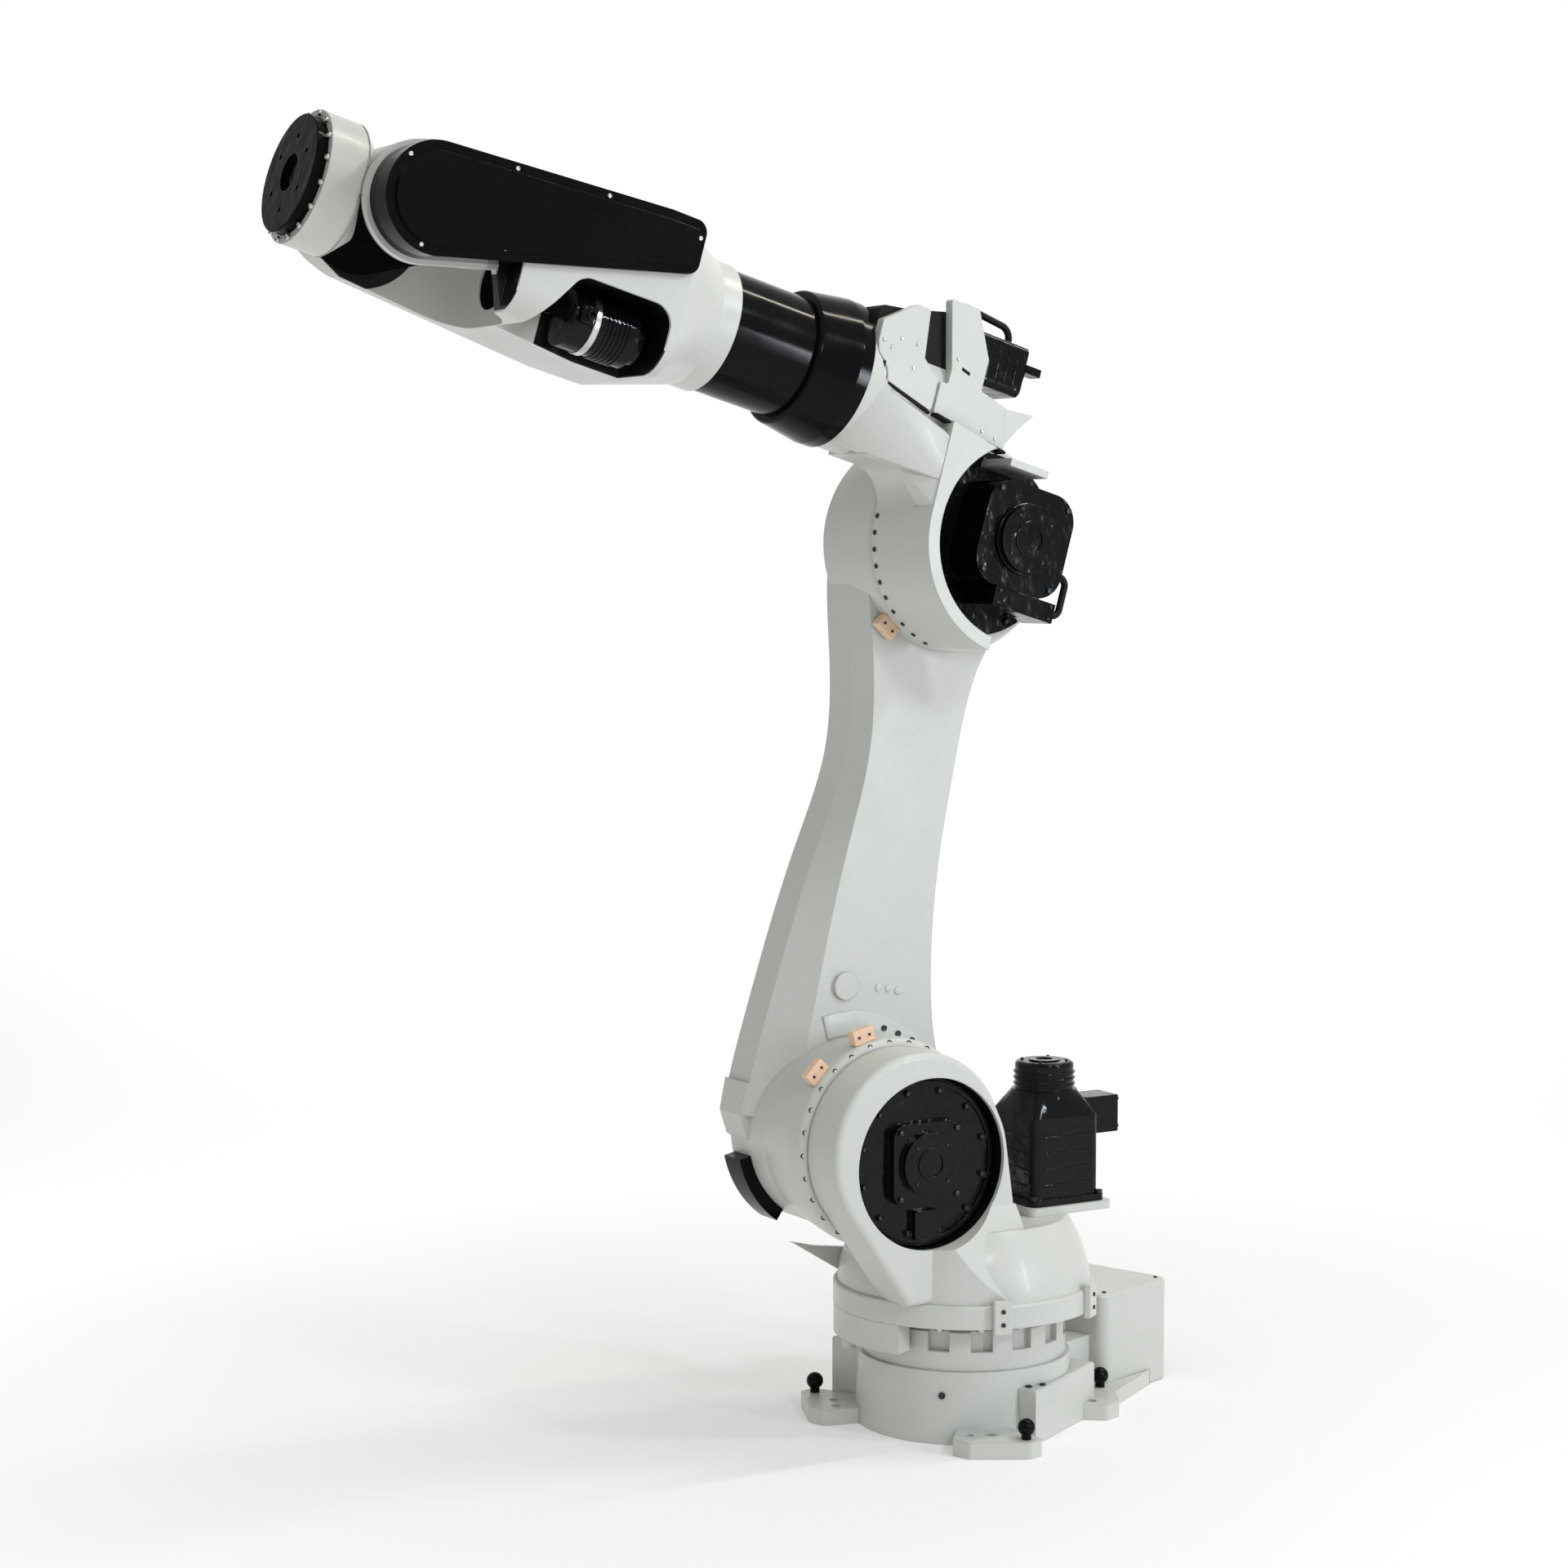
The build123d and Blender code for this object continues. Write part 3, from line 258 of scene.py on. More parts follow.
@dataclass(frozen=True)
class Finish:
    """A painted or machined surface with mottling, a drifting sheen, fine grain and soft edges."""

    name: str
    colour: Colour
    worn: Colour
    roughness: float
    metallic: float = 0.0
    specular: float = 0.5
    coat: float = 0.0
    coat_roughness: float = 0.1
    mottle_scale: float = 5.0
    broad: Noise = Noise(1, 5.0, 0.6)
    fine: Noise = Noise(22, 3.0, 0.7)
    wear_range: Pair = (0.16, 0.62)
    smear: Noise = Noise(3, 4.0)
    smear_range: Pair = (0.3, 0.7)
    sheen_spread: float = 0.07
    least_roughness: float = 0.03
    grain: Noise = Noise(1, 2.0)
    grain_scale: float = 420.0
    grain_height: float = 0.00012
    grain_strength: float = 0.35
    edge: float = 0.0018
    edge_samples: int = 4

    def material(self, suffix: str = "", shade_pockets: tuple[ShadePocket, ...] = ()) -> bpy.types.Material:
        """Makes the material, or returns it where it exists.

        Args:
            suffix: Ending of its name, for a casting with pockets of its own.
            shade_pockets: Pockets of the casting that are painted black as painted shade.

        Returns:
            The node material of this finish.
        """
        found = bpy.data.materials.get(self.name + suffix)
        if found:
            return found
        made = bpy.data.materials.new(self.name + suffix)
        made.use_nodes = True
        made.node_tree.nodes.clear()
        graph = Graph(made.node_tree)
        output = graph.add("ShaderNodeOutputMaterial")
        shader = graph.add("ShaderNodeBsdfPrincipled", Metallic=self.metallic,
                           Specular_IOR_Level=self.specular, Coat_Weight=self.coat,
                           Coat_Roughness=self.coat_roughness)
        graph.join(shader.outputs["BSDF"], output.inputs["Surface"])
        place = graph.add("ShaderNodeTexCoord").outputs["Object"]
        tint = self._colour(graph, place)
        # Paints the casting's pockets black as painted shade.
        for pocket in shade_pockets:
            tint = self._paint_shade(graph, tint, pocket.mask(graph, place))
        graph.join(tint, shader.inputs["Base Color"])
        self._sheen(graph, place, shader)
        self._grain(graph, place, shader)
        return made

    def _colour(self, graph: Graph, place: bpy.types.NodeSocket) -> bpy.types.NodeSocket:
        """Mixes the paint with its worn tone by a broad and a fine noise.

        Args:
            graph: The material's nodes.
            place: Object coordinates.

        Returns:
            The colour.
        """
        broad = self.broad.value(graph, place, self.mottle_scale)
        fine = self.fine.value(graph, place, self.mottle_scale)
        fresh, spent = self.wear_range
        return graph.ramp(graph.math("MULTIPLY", broad, fine), (fresh, self.colour),
                          (spent, self.worn))

    @staticmethod
    def _paint_shade(
        graph: Graph, tint: bpy.types.NodeSocket, mask: bpy.types.NodeSocket
    ) -> bpy.types.NodeSocket:
        """Paints a pocket black as painted shade.

        Args:
            graph: The material's nodes.
            tint: The paint's colour.
            mask: One inside the pocket and zero elsewhere.

        Returns:
            The colour with the pocket's painted shade.
        """
        node = graph.add("ShaderNodeMix")
        node.data_type = "RGBA"
        graph.join(mask, node.inputs["Factor"])
        paint, black = (socket for socket in node.inputs if socket.type == "RGBA")
        graph.join(tint, paint)
        # The gloss black paint's colour, used here as painted shade.
        black.default_value = (*BLACK.colour, 1.0)
        return next(socket for socket in node.outputs if socket.type == "RGBA")

    def _sheen(self, graph: Graph, place: bpy.types.NodeSocket, shader: bpy.types.Node) -> None:
        """Lets the roughness drift, as handled and wiped paint does.

        Args:
            graph: The material's nodes.
            place: Object coordinates.
            shader: The material's shader.
        """
        smear = self.smear.value(graph, place, self.mottle_scale)
        low = max(self.least_roughness, self.roughness - self.sheen_spread)
        drift = graph.remap(smear, self.smear_range, (low, self.roughness + self.sheen_spread))
        graph.join(drift, shader.inputs["Roughness"])

    def _grain(self, graph: Graph, place: bpy.types.NodeSocket, shader: bpy.types.Node) -> None:
        """Rounds the edges and raises the fine skin of the paint or the casting.

        Args:
            graph: The material's nodes.
            place: Object coordinates.
            shader: The material's shader.
        """
        bump = graph.add("ShaderNodeBump", Strength=self.grain_strength,
                         Distance=self.grain_height)
        graph.join(self.grain.value(graph, place, self.grain_scale), bump.inputs["Height"])
        rounded = graph.add("ShaderNodeBevel", Radius=self.edge)
        rounded.samples = self.edge_samples
        graph.join(rounded.outputs["Normal"], bump.inputs["Normal"])
        graph.join(bump.outputs["Normal"], shader.inputs["Normal"])


CREAM = Finish("cream_enamel", (0.548, 0.557, 0.530), (0.495, 0.508, 0.477), 0.36, specular=0.4,
               coat=0.06, edge=0.003)
BLACK = Finish("gloss_black", (0.0025, 0.0025, 0.003), (0.006, 0.006, 0.007), 0.12, specular=0.10,
               grain_scale=260.0, grain_height=0.00006, sheen_spread=0.04)
MOTOR = Finish("motor_black", (0.0025, 0.0025, 0.003), (0.008, 0.008, 0.009), 0.13, specular=0.19,
               grain_scale=32.0, grain_height=0.004, grain_strength=0.6, sheen_spread=0.05)
BARREL = Finish("barrel_black", (0.0025, 0.0025, 0.003), (0.006, 0.006, 0.007), 0.5, specular=0.0)
FLANGE = Finish("flange_black", (0.0025, 0.0025, 0.003), (0.008, 0.008, 0.009), 0.12,
                specular=0.04, grain_scale=32.0, grain_height=0.003, grain_strength=0.6)
SEAL = Finish("seal_black", (0.004, 0.004, 0.004), (0.009, 0.009, 0.009), 0.5, specular=0.16)
PEACH = Finish("stop_peach", (0.80, 0.55, 0.38), (0.68, 0.44, 0.29), 0.42, coat=0.1)
STEEL = Finish("machined_steel", (0.60, 0.60, 0.58), (0.42, 0.43, 0.42), 0.30, metallic=1.0,
               grain_scale=700.0)
OXIDE = Finish("oxide_screw", (0.030, 0.033, 0.037), (0.06, 0.065, 0.07), 0.36, metallic=0.7,
               edge=0.0006)

NODES_BY_FINISH: dict[Finish, tuple[str, ...]] = {
    BLACK: ("connector_plate", "forearm_ring", "forearm_tube", "belt_cover", "far_fork_cover",
            "anchor_caps", "foot_cover"),
    MOTOR: ("j1_motor", "j1_motor_plug", "j2_motor", "j3_motor", "j3_junction_box", "j4_motor",
            "hand_motor"),
    BARREL: ("wrist_barrel",),
    FLANGE: ("tool_flange",),
    SEAL: ("cable_pack", "motor_cables"),
    PEACH: ("stop_blocks",),
    STEEL: ("shoulder_bearing",),
}


@dataclass
class Axes:
    """Frames of the arm's bodies, read from the record's joints."""

    base: Matrix
    arm: Matrix
    lower: Matrix
    elbow: Matrix
    wrist: Matrix

    @classmethod
    def read(cls, joints: list[dict]) -> Axes:
        """Works out the frames.

        Args:
            joints: The record's joints.

        Returns:
            One frame for each main body.
        """
        by_name = {joint["name"]: joint for joint in joints}
        left = Vector(by_name["j2_shoulder"]["axis"])
        shoulder = Vector(by_name["j2_shoulder"]["pos_m"])
        elbow = Vector(by_name["j3_elbow"]["pos_m"])
        wrist = Vector(by_name["j5_wrist_bend"]["pos_m"])
        ahead = Vector(by_name["j6_flange_roll"]["axis"])
        up = (elbow - shoulder).normalized()
        return cls(
            Matrix.Identity(4),
            cls._frame(Vector((0, 0, 0)), left.cross(Vector((0, 0, 1))), left),
            cls._frame(shoulder, left.cross(up), left),
            cls._frame(elbow, ahead, left),
            cls._frame(wrist, ahead, left),
        )

    @staticmethod
    def _frame(origin: Vector, x_axis: Vector, y_axis: Vector) -> Matrix:
        """Makes a frame.

        Args:
            origin: Its origin.
            x_axis: Direction of its X axis.
            y_axis: Direction of its Y axis.

        Returns:
            The frame.
        """
        x_axis = x_axis.normalized()
        y_axis = y_axis.normalized()
        turn = Matrix((x_axis, y_axis, x_axis.cross(y_axis))).transposed().to_4x4()
        return Matrix.Translation(origin) @ turn


def at(x: float, y: float, z: float, way: Way = Way.UP) -> Matrix:
    """Makes a place in a body's frame.

    Args:
        x: Millimetres ahead.
        y: Millimetres to the near side.
        z: Millimetres up.
        way: Direction of the place's Z axis.

    Returns:
        The place.
    """
    axis, sign = way.value
    target = Matrix.Identity(3)[axis] * sign
    turn = target.to_track_quat("Z", "Y").to_matrix().to_4x4()
    return Matrix.Translation(Vector((x, y, z)) / MM_PER_M) @ turn


def about_y(degrees: float) -> Matrix:
    """Turn about the axis across the arm."""
    return Matrix.Rotation(math.radians(degrees), 4, "Y")


def about_z(degrees: float) -> Matrix:
    """Turn about the upright axis."""
    return Matrix.Rotation(math.radians(degrees), 4, "Z")


@dataclass(frozen=True)
class Screw:
    """Size and kind of a screw head, in millimetres."""

    radius: float
    height: float
    head: Head = Head.SOCKET


@dataclass(frozen=True)
class ScrewRing:
    """Equal screws on a circle, with its radius in millimetres and the first angle in degrees."""

    count: int
    reach: float
    screw: Screw
    start: float = 0.0


@dataclass(frozen=True)
class Collar:
    """Half section of a ring in millimetres: its radii, and its ends along the axis."""

    inner: float
    outer: float
    low: float
    high: float


@dataclass
class Piece:
    """A new mesh that is built with bmesh and rides on a body."""

    name: str
    body: str
    finish: Finish
    frame: Matrix
    slot: str = "steel"
    hex_bevel: float = 0.08
    recess_rim: float = 0.40
    recess_depth: float = 0.55
    collar_chamfer: float = 0.3
    collar_steps: int = 40
    hex_strips: int = 2
    block_strips: int = 3
    plate_strips: int = 2
    shell_strips: int = 3
    mesh: bmesh.types.BMesh = field(default_factory=bmesh.new)

    def _bevel(
        self, edges: list[bmesh.types.BMEdge], width: float, segments: int, clamp: bool = False
    ) -> None:
        """Bevels edges by a width in millimetres, clamped where bevels meet if asked."""
        bmesh.ops.bevel(self.mesh, geom=edges, offset=width / MM_PER_M, segments=segments,
                        profile=0.5, affect="EDGES", material=-1, clamp_overlap=clamp)

    def screw(self, place: Matrix, screw: Screw) -> None:
        """Adds a screw head.

        Args:
            place: Seat of the head in this piece's frame, with Z along the screw.
            screw: The screw.
        """
        sides, crown = screw.head.value
        depth = screw.height / MM_PER_M
        seat = self.frame @ place
        made = bmesh.ops.create_cone(
            self.mesh, cap_ends=True, segments=sides, radius1=screw.radius / MM_PER_M,
            radius2=screw.radius * crown / MM_PER_M, depth=depth,
            matrix=seat @ Matrix.Translation((0, 0, depth / 2)),
        )
        outward = seat.to_3x3() @ Vector((0, 0, 1))
        faces = {face for vert in made["verts"] for face in vert.link_faces}
        top = max(faces, key=lambda face: face.calc_center_median().dot(outward))
        if screw.head is Head.HEX:
            self._bevel(list(top.edges), screw.radius * self.hex_bevel, self.hex_strips)
            return
        bmesh.ops.inset_individual(self.mesh, faces=[top], depth=0.0,
                                   thickness=screw.radius * self.recess_rim / MM_PER_M)
        bmesh.ops.translate(self.mesh, verts=list(top.verts),
                            vec=-outward * depth * self.recess_depth)

    def screw_ring(self, place: Matrix, ring: ScrewRing) -> None:
        """Adds screws on a circle.

        Args:
            place: Centre of the circle, with Z along the screws.
            ring: The screws.
        """
        for index in range(ring.count):
            angle = math.radians(ring.start) + math.tau * index / ring.count
            spot = (ring.reach * math.cos(angle) / MM_PER_M,
                    ring.reach * math.sin(angle) / MM_PER_M, 0)
            self.screw(place @ Matrix.Translation(spot), ring.screw)

    def screw_square(self, place: Matrix, half: Pair, screw: Screw) -> None:
        """Adds screws at the four corners of a rectangle.

        Args:
            place: Centre of the rectangle, with Z along the screws.
            half: Half its sides in millimetres.
            screw: The screw.
        """
        for u in (-half[0], half[0]):
            for v in (-half[1], half[1]):
                self.screw(place @ Matrix.Translation((u / MM_PER_M, v / MM_PER_M, 0)), screw)

    def block(self, place: Matrix, size: Point, edge: float) -> None:
        """Adds a block with bevelled edges.

        Args:
            place: Centre of the block in this piece's frame.
            size: Its three sides in millimetres.
            edge: Width of the bevel in millimetres.
        """
        scale = Matrix.Diagonal(Vector((*size, MM_PER_M)) / MM_PER_M)
        made = bmesh.ops.create_cube(self.mesh, size=1.0, matrix=self.frame @ place @ scale)
        lines = {line for vert in made["verts"] for line in vert.link_edges}
        self._bevel(list(lines), edge, self.block_strips)

    def turn(self, place: Matrix, profile: list[Pair], steps: int) -> None:
        """Spins a closed half section about the Z axis of a place.

        Args:
            place: The axis, in this piece's frame.
            profile: Radius and height of each corner in millimetres.
            steps: Number of steps round the axis.
        """
        spot = self.frame @ place
        line = [self.mesh.verts.new(spot @ Vector((r / MM_PER_M, 0, z / MM_PER_M)))
                for r, z in profile]
        edges = [self.mesh.edges.new(pair) for pair in zip(line, [*line[1:], line[0]])]
        axis = spot.to_3x3() @ Vector((0, 0, 1))
        bmesh.ops.spin(self.mesh, geom=[*line, *edges], cent=spot.translation, axis=axis,
                       angle=math.tau, steps=steps, use_merge=True)

    def collar(self, place: Matrix, ring: Collar) -> None:
        """Adds a ring with chamfered outer edges.

        Args:
            place: The ring's axis, in this piece's frame.
            ring: Its half section.
        """
        inner, outer, low, high = ring.inner, ring.outer, ring.low, ring.high
        cut = min(outer - inner, high - low) * self.collar_chamfer
        profile = [(inner, low), (outer - cut, low), (outer, low + cut), (outer, high - cut),
                   (outer - cut, high), (inner, high)]
        self.turn(place, profile, self.collar_steps)

    def plate(self, outline: list[Pair], y_from: float, y_to: float, edge: float) -> None:
        """Adds a plate drawn in the side view.

        Args:
            outline: Its corners, along and up, in millimetres.
            y_from: Its far face.
            y_to: Its near face.
            edge: Width of the bevel round the near face.
        """
        corners = [self.mesh.verts.new(self.frame @ (Vector((x, y_from, z)) / MM_PER_M))
                   for x, z in outline]
        flat = self.mesh.faces.new(corners)
        made = bmesh.ops.extrude_face_region(self.mesh, geom=[flat])["geom"]
        near = [item for item in made if isinstance(item, bmesh.types.BMVert)]
        reach = self.frame.to_3x3() @ Vector((0, (y_to - y_from) / MM_PER_M, 0))
        bmesh.ops.translate(self.mesh, verts=near, vec=reach)
        rim = [item for item in made if isinstance(item, bmesh.types.BMEdge)]
        self._bevel(rim, edge, self.plate_strips)

    def shell(self, points: list[Point], edge: float) -> None:
        """Adds the smooth convex shell of a set of points.

        Args:
            points: The points in millimetres.
            edge: Width of the bevel along its corners.
        """
        verts = [self.mesh.verts.new(self.frame @ (Vector(point) / MM_PER_M)) for point in points]
        made = bmesh.ops.convex_hull(self.mesh, input=verts)
        spare = [item for item in made["geom_interior"] if isinstance(item, bmesh.types.BMVert)]
        bmesh.ops.delete(self.mesh, geom=spare, context="VERTS")
        bmesh.ops.recalc_face_normals(self.mesh, faces=self.mesh.faces)
        corners = [line for line in self.mesh.edges
                   if line.is_manifold and line.calc_face_angle() > SMOOTH_ANGLE]
        self._bevel(corners, edge, self.shell_strips, clamp=True)

    def finish_up(self) -> None:
        """Closes the mesh, dresses it and hands it to its body."""
        bmesh.ops.remove_doubles(self.mesh, verts=self.mesh.verts, dist=MERGE_DISTANCE)
        bmesh.ops.recalc_face_normals(self.mesh, faces=self.mesh.faces)
        data = bpy.data.meshes.new(self.name)
        self.mesh.to_mesh(data)
        self.mesh.free()
        data.shade_smooth()
        data.set_sharp_from_angle(angle=SMOOTH_ANGLE)
        data.materials.append(self.finish.material())
        made = bpy.data.objects.new(self.name, data)
        bpy.context.scene.collection.objects.link(made)
        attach(made, self.body)
        LOG.info("%s rides on %s, %d faces", self.name, self.body, len(data.polygons))


@dataclass
class Dress:
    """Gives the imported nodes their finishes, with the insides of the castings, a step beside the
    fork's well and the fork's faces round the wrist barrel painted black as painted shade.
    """

    nodes: dict[str, bpy.types.Object]
    axes: Axes
    # Spans in millimetres that are painted black as painted shade, each in its body's frame.
    shoulder_opening: Span = ((19, 89, 363), (333, 150, 677))
    elbow_drum: Span = ((-180.5, -9, -180.5), (180.5, 137, 180.5))
    hand_window: Span = ((815, 35, -40), (985, 181, 171))
    fork_well: Span = ((935, -64, 98), (1060, 36, 218))
    # A step face beside the fork's well, painted black as painted shade so that the dark well
    # reads larger.
    well_step: Span = ((1103, 112, 62), (1125, 182, 166))
    # The fork's faces round the wrist barrel, painted black as painted shade.
    far_seat: Span = ((-122, -122, -122), (122, -114, 122))
    near_seat: Span = ((-122, 114, -122), (122, 122, 122))

    def shade_pockets(self) -> dict[str, tuple[ShadePocket, ...]]:
        """Painted shade: black insides of the castings, a step face beside the fork's well and the
        fork's faces round the wrist barrel.

        Returns:
            The pockets by node.
        """
        elbow, wrist = self.axes.elbow, self.axes.wrist
        return {
            "turret_casting": (ShadePocket(self.axes.arm, *self.shoulder_opening, Section.ROUND),),
            "elbow_casting": (ShadePocket(elbow, *self.elbow_drum, Section.ROUND),),
            "wrist_housing": (
                ShadePocket(elbow, *self.hand_window),
                ShadePocket(elbow, *self.fork_well),
                ShadePocket(elbow, *self.well_step),
                ShadePocket(wrist, *self.far_seat, Section.ROUND),
                ShadePocket(wrist, *self.near_seat, Section.ROUND),
            ),
        }

    def dress(self) -> None:
        """Assigns every node's finish, which is cream where none is listed."""
        finishes = {name: finish for finish, names in NODES_BY_FINISH.items() for name in names}
        shade_pockets = self.shade_pockets()
        for name, node in self.nodes.items():
            inside = shade_pockets.get(name, ())
            finish = finishes.get(name, CREAM)
            material = finish.material(f"_{name}" if inside else "", inside)
            for spot in node.material_slots:
                spot.material = material
            LOG.info("node %s is %s", name, material.name)


@dataclass
class BaseFittings:
    """Fasteners and connector trim of the base."""

    axes: Axes
    bearing: ScrewRing = ScrewRing(15, 181.0, Screw(7.5, 8.5), 12.0)
    bearing_seat: float = 204.0
    block_screws: tuple[Pair, ...] = ((58, 196), (30, 206))
    block_screw: Screw = Screw(6.0, 3.0)
    near_block_top: float = 100.0
    far_block_top: float = 131.0
    far_block_shift: float = 16.0
    plug: Screw = Screw(6.5, 2.5)
    plug_angle: float = 26.7
    plug_reach: float = 200.0
    plug_height: float = 90.0
    box_lid: Point = (-380, 0, 200)
    box_lid_half: Pair = (86, 112)
    rear_plate: float = -497.0
    rear_plate_half: Pair = (98, 84)
    cover_screw: Screw = Screw(4.5, 2.2, Head.BUTTON)
    port_pitch: float = 72.0
    port_face: float = -511.0
    port_height: float = 101.5
    port_rings: tuple[Collar, ...] = (Collar(22.3, 26.0, -12.0, -7.5),
                                      Collar(22.3, 25.0, -6.0, -3.0))
    port_pins: ScrewRing = ScrewRing(6, 11.0, Screw(2.2, 1.8))
    port_pin_depth: float = 2.0

    def build(self) -> None:
        """Builds the base's pieces."""
        ring = Piece("bearing_bolts", "base", STEEL, self.axes.base)
        ring.screw_ring(at(0, 0, self.bearing_seat), self.bearing)
        ring.finish_up()
        screws = Piece("base_screws", "base", OXIDE, self.axes.base)
        for x, y in self.block_screws:
            screws.screw(at(x, y, self.near_block_top), self.block_screw)
            screws.screw(at(x, -y - self.far_block_shift, self.far_block_top), self.block_screw)
        plug = about_z(self.plug_angle) @ at(self.plug_reach, 0, self.plug_height, Way.AHEAD)
        screws.screw(plug, self.plug)
        screws.screw_square(at(*self.box_lid), self.box_lid_half, self.cover_screw)
        screws.screw_square(at(self.rear_plate, 0, self.port_height, Way.BACK),
                            self.rear_plate_half, self.cover_screw)
        screws.finish_up()
        self._ports()

    def _ports(self) -> None:
        """Builds the threaded rings and the pins of the rear connectors."""
        rings = Piece("port_rings", "base", STEEL, self.axes.base)
        contacts = Piece("port_contacts", "base", SEAL, self.axes.base, "black_paint")
        sunk = Matrix.Translation((0, 0, -self.port_pin_depth / MM_PER_M))
        for step in (-1, 0, 1):
            spot = at(self.port_face, step * self.port_pitch, self.port_height, Way.BACK)
            for ring in self.port_rings:
                rings.collar(spot, ring)
            contacts.screw_ring(spot @ sunk, self.port_pins)
        rings.finish_up()
        contacts.finish_up()


@dataclass
class TurretFittings:
    """Fasteners and trim of the turret and its two motors."""

    axes: Axes
    bracket_angles: tuple[float, ...] = (72.0, 124.0)
    bracket_heights: tuple[float, ...] = (233, 257)
    bracket_screw: Screw = Screw(4.2, 1.8)
    rim: float = 257.0
    shoulder_motor: Pair = (176.0, 520.0)
    shoulder_plate: float = 128.0
    shoulder_plate_screws: ScrewRing = ScrewRing(12, 131.0, Screw(6.5, 7.0), 15.0)
    shoulder_plate_ring: Collar = Collar(140.5, 149.0, -0.5, 4.0)
    shoulder_body: float = 146.0
    shoulder_body_half: Pair = (60, 60)
    shoulder_body_screw: Screw = Screw(5.5, 5.0, Head.HEX)
    shoulder_cap: float = 158.0
    shoulder_cap_screws: ScrewRing = ScrewRing(4, 46.0, Screw(3.2, 2.4), 45.0)
    shoulder_cap_ring: Collar = Collar(22.0, 30.0, -0.5, 2.5)
    turning_motor: Pair = (-166.0, 22.0)
    turning_foot: float = 415.0
    turning_foot_half: Pair = (74, 74)
    turning_foot_screw: Screw = Screw(7.0, 7.0, Head.HEX)
    turning_cap: float = 663.0
    turning_cap_screws: ScrewRing = ScrewRing(4, 42.0, Screw(3.2, 2.4), 45.0)
    turning_cap_rings: tuple[Collar, ...] = (
        Collar(54.7, 58.0, 618.0, 622.5), Collar(54.7, 58.0, 629.0, 633.5),
        Collar(54.7, 58.0, 640.0, 644.5), Collar(16.0, 30.0, 662.5, 665.5),
    )
    turning_plug: Pair = (-319.0, 554.0)
    turning_plug_half: Pair = (24, 26)
    turning_plug_screw: Screw = Screw(3.0, 2.0)
    rib_heights: tuple[float, ...] = (440.0, 470.0, 500.0, 530.0)
    rib_side: float = 75.0
    rib_size: Point = (104, 3, 5)
    rib_edge: float = 1.0

    def build(self) -> None:
        """Builds the turret's pieces."""
        screws = Piece("turret_screws", "turret", OXIDE, self.axes.arm)
        for degrees in self.bracket_angles:
            for height in self.bracket_heights:
                spot = about_z(degrees) @ at(self.rim, 0, height, Way.AHEAD)
                screws.screw(spot, self.bracket_screw)
        self._shoulder_screws(screws)
        self._turning_screws(screws)
        screws.finish_up()
        self._trim()

    def _shoulder_screws(self, screws: Piece) -> None:
        """Adds the screws of the shoulder motor's plate, body and cap.

        Args:
            screws: The piece to add to.
        """
        x, z = self.shoulder_motor
        screws.screw_ring(at(x, self.shoulder_plate, z, Way.NEAR), self.shoulder_plate_screws)
        screws.screw_square(at(x, self.shoulder_body, z, Way.NEAR), self.shoulder_body_half,
                            self.shoulder_body_screw)
        screws.screw_ring(at(x, self.shoulder_cap, z, Way.NEAR), self.shoulder_cap_screws)

    def _turning_screws(self, screws: Piece) -> None:
        """Adds the screws of the turning motor's foot, cap and plug.

        Args:
            screws: The piece to add to.
        """
        x, y = self.turning_motor
        screws.screw_square(at(x, y, self.turning_foot), self.turning_foot_half,
                            self.turning_foot_screw)
        screws.screw_ring(at(x, y, self.turning_cap), self.turning_cap_screws)
        plug_x, plug_z = self.turning_plug
        screws.screw_square(at(plug_x, y, plug_z, Way.BACK), self.turning_plug_half,
                            self.turning_plug_screw)

    def _trim(self) -> None:
        """Builds the raised rings and ribs of the two motors."""
        trim = Piece("turret_motor_trim", "turret", MOTOR, self.axes.arm, "black_paint")
        x, z = self.shoulder_motor
        trim.collar(at(x, self.shoulder_cap, z, Way.NEAR), self.shoulder_cap_ring)
        trim.collar(at(x, self.shoulder_plate, z, Way.NEAR), self.shoulder_plate_ring)
        x, y = self.turning_motor
        for ring in self.turning_cap_rings:
            trim.collar(at(x, y, 0), ring)
        long, thick, tall = self.rib_size
        for height in self.rib_heights:
            trim.block(at(x, y + self.rib_side, height), (long, thick, tall), self.rib_edge)
            trim.block(at(x + self.rib_side, y, height), (thick, long, tall), self.rib_edge)
        trim.finish_up()


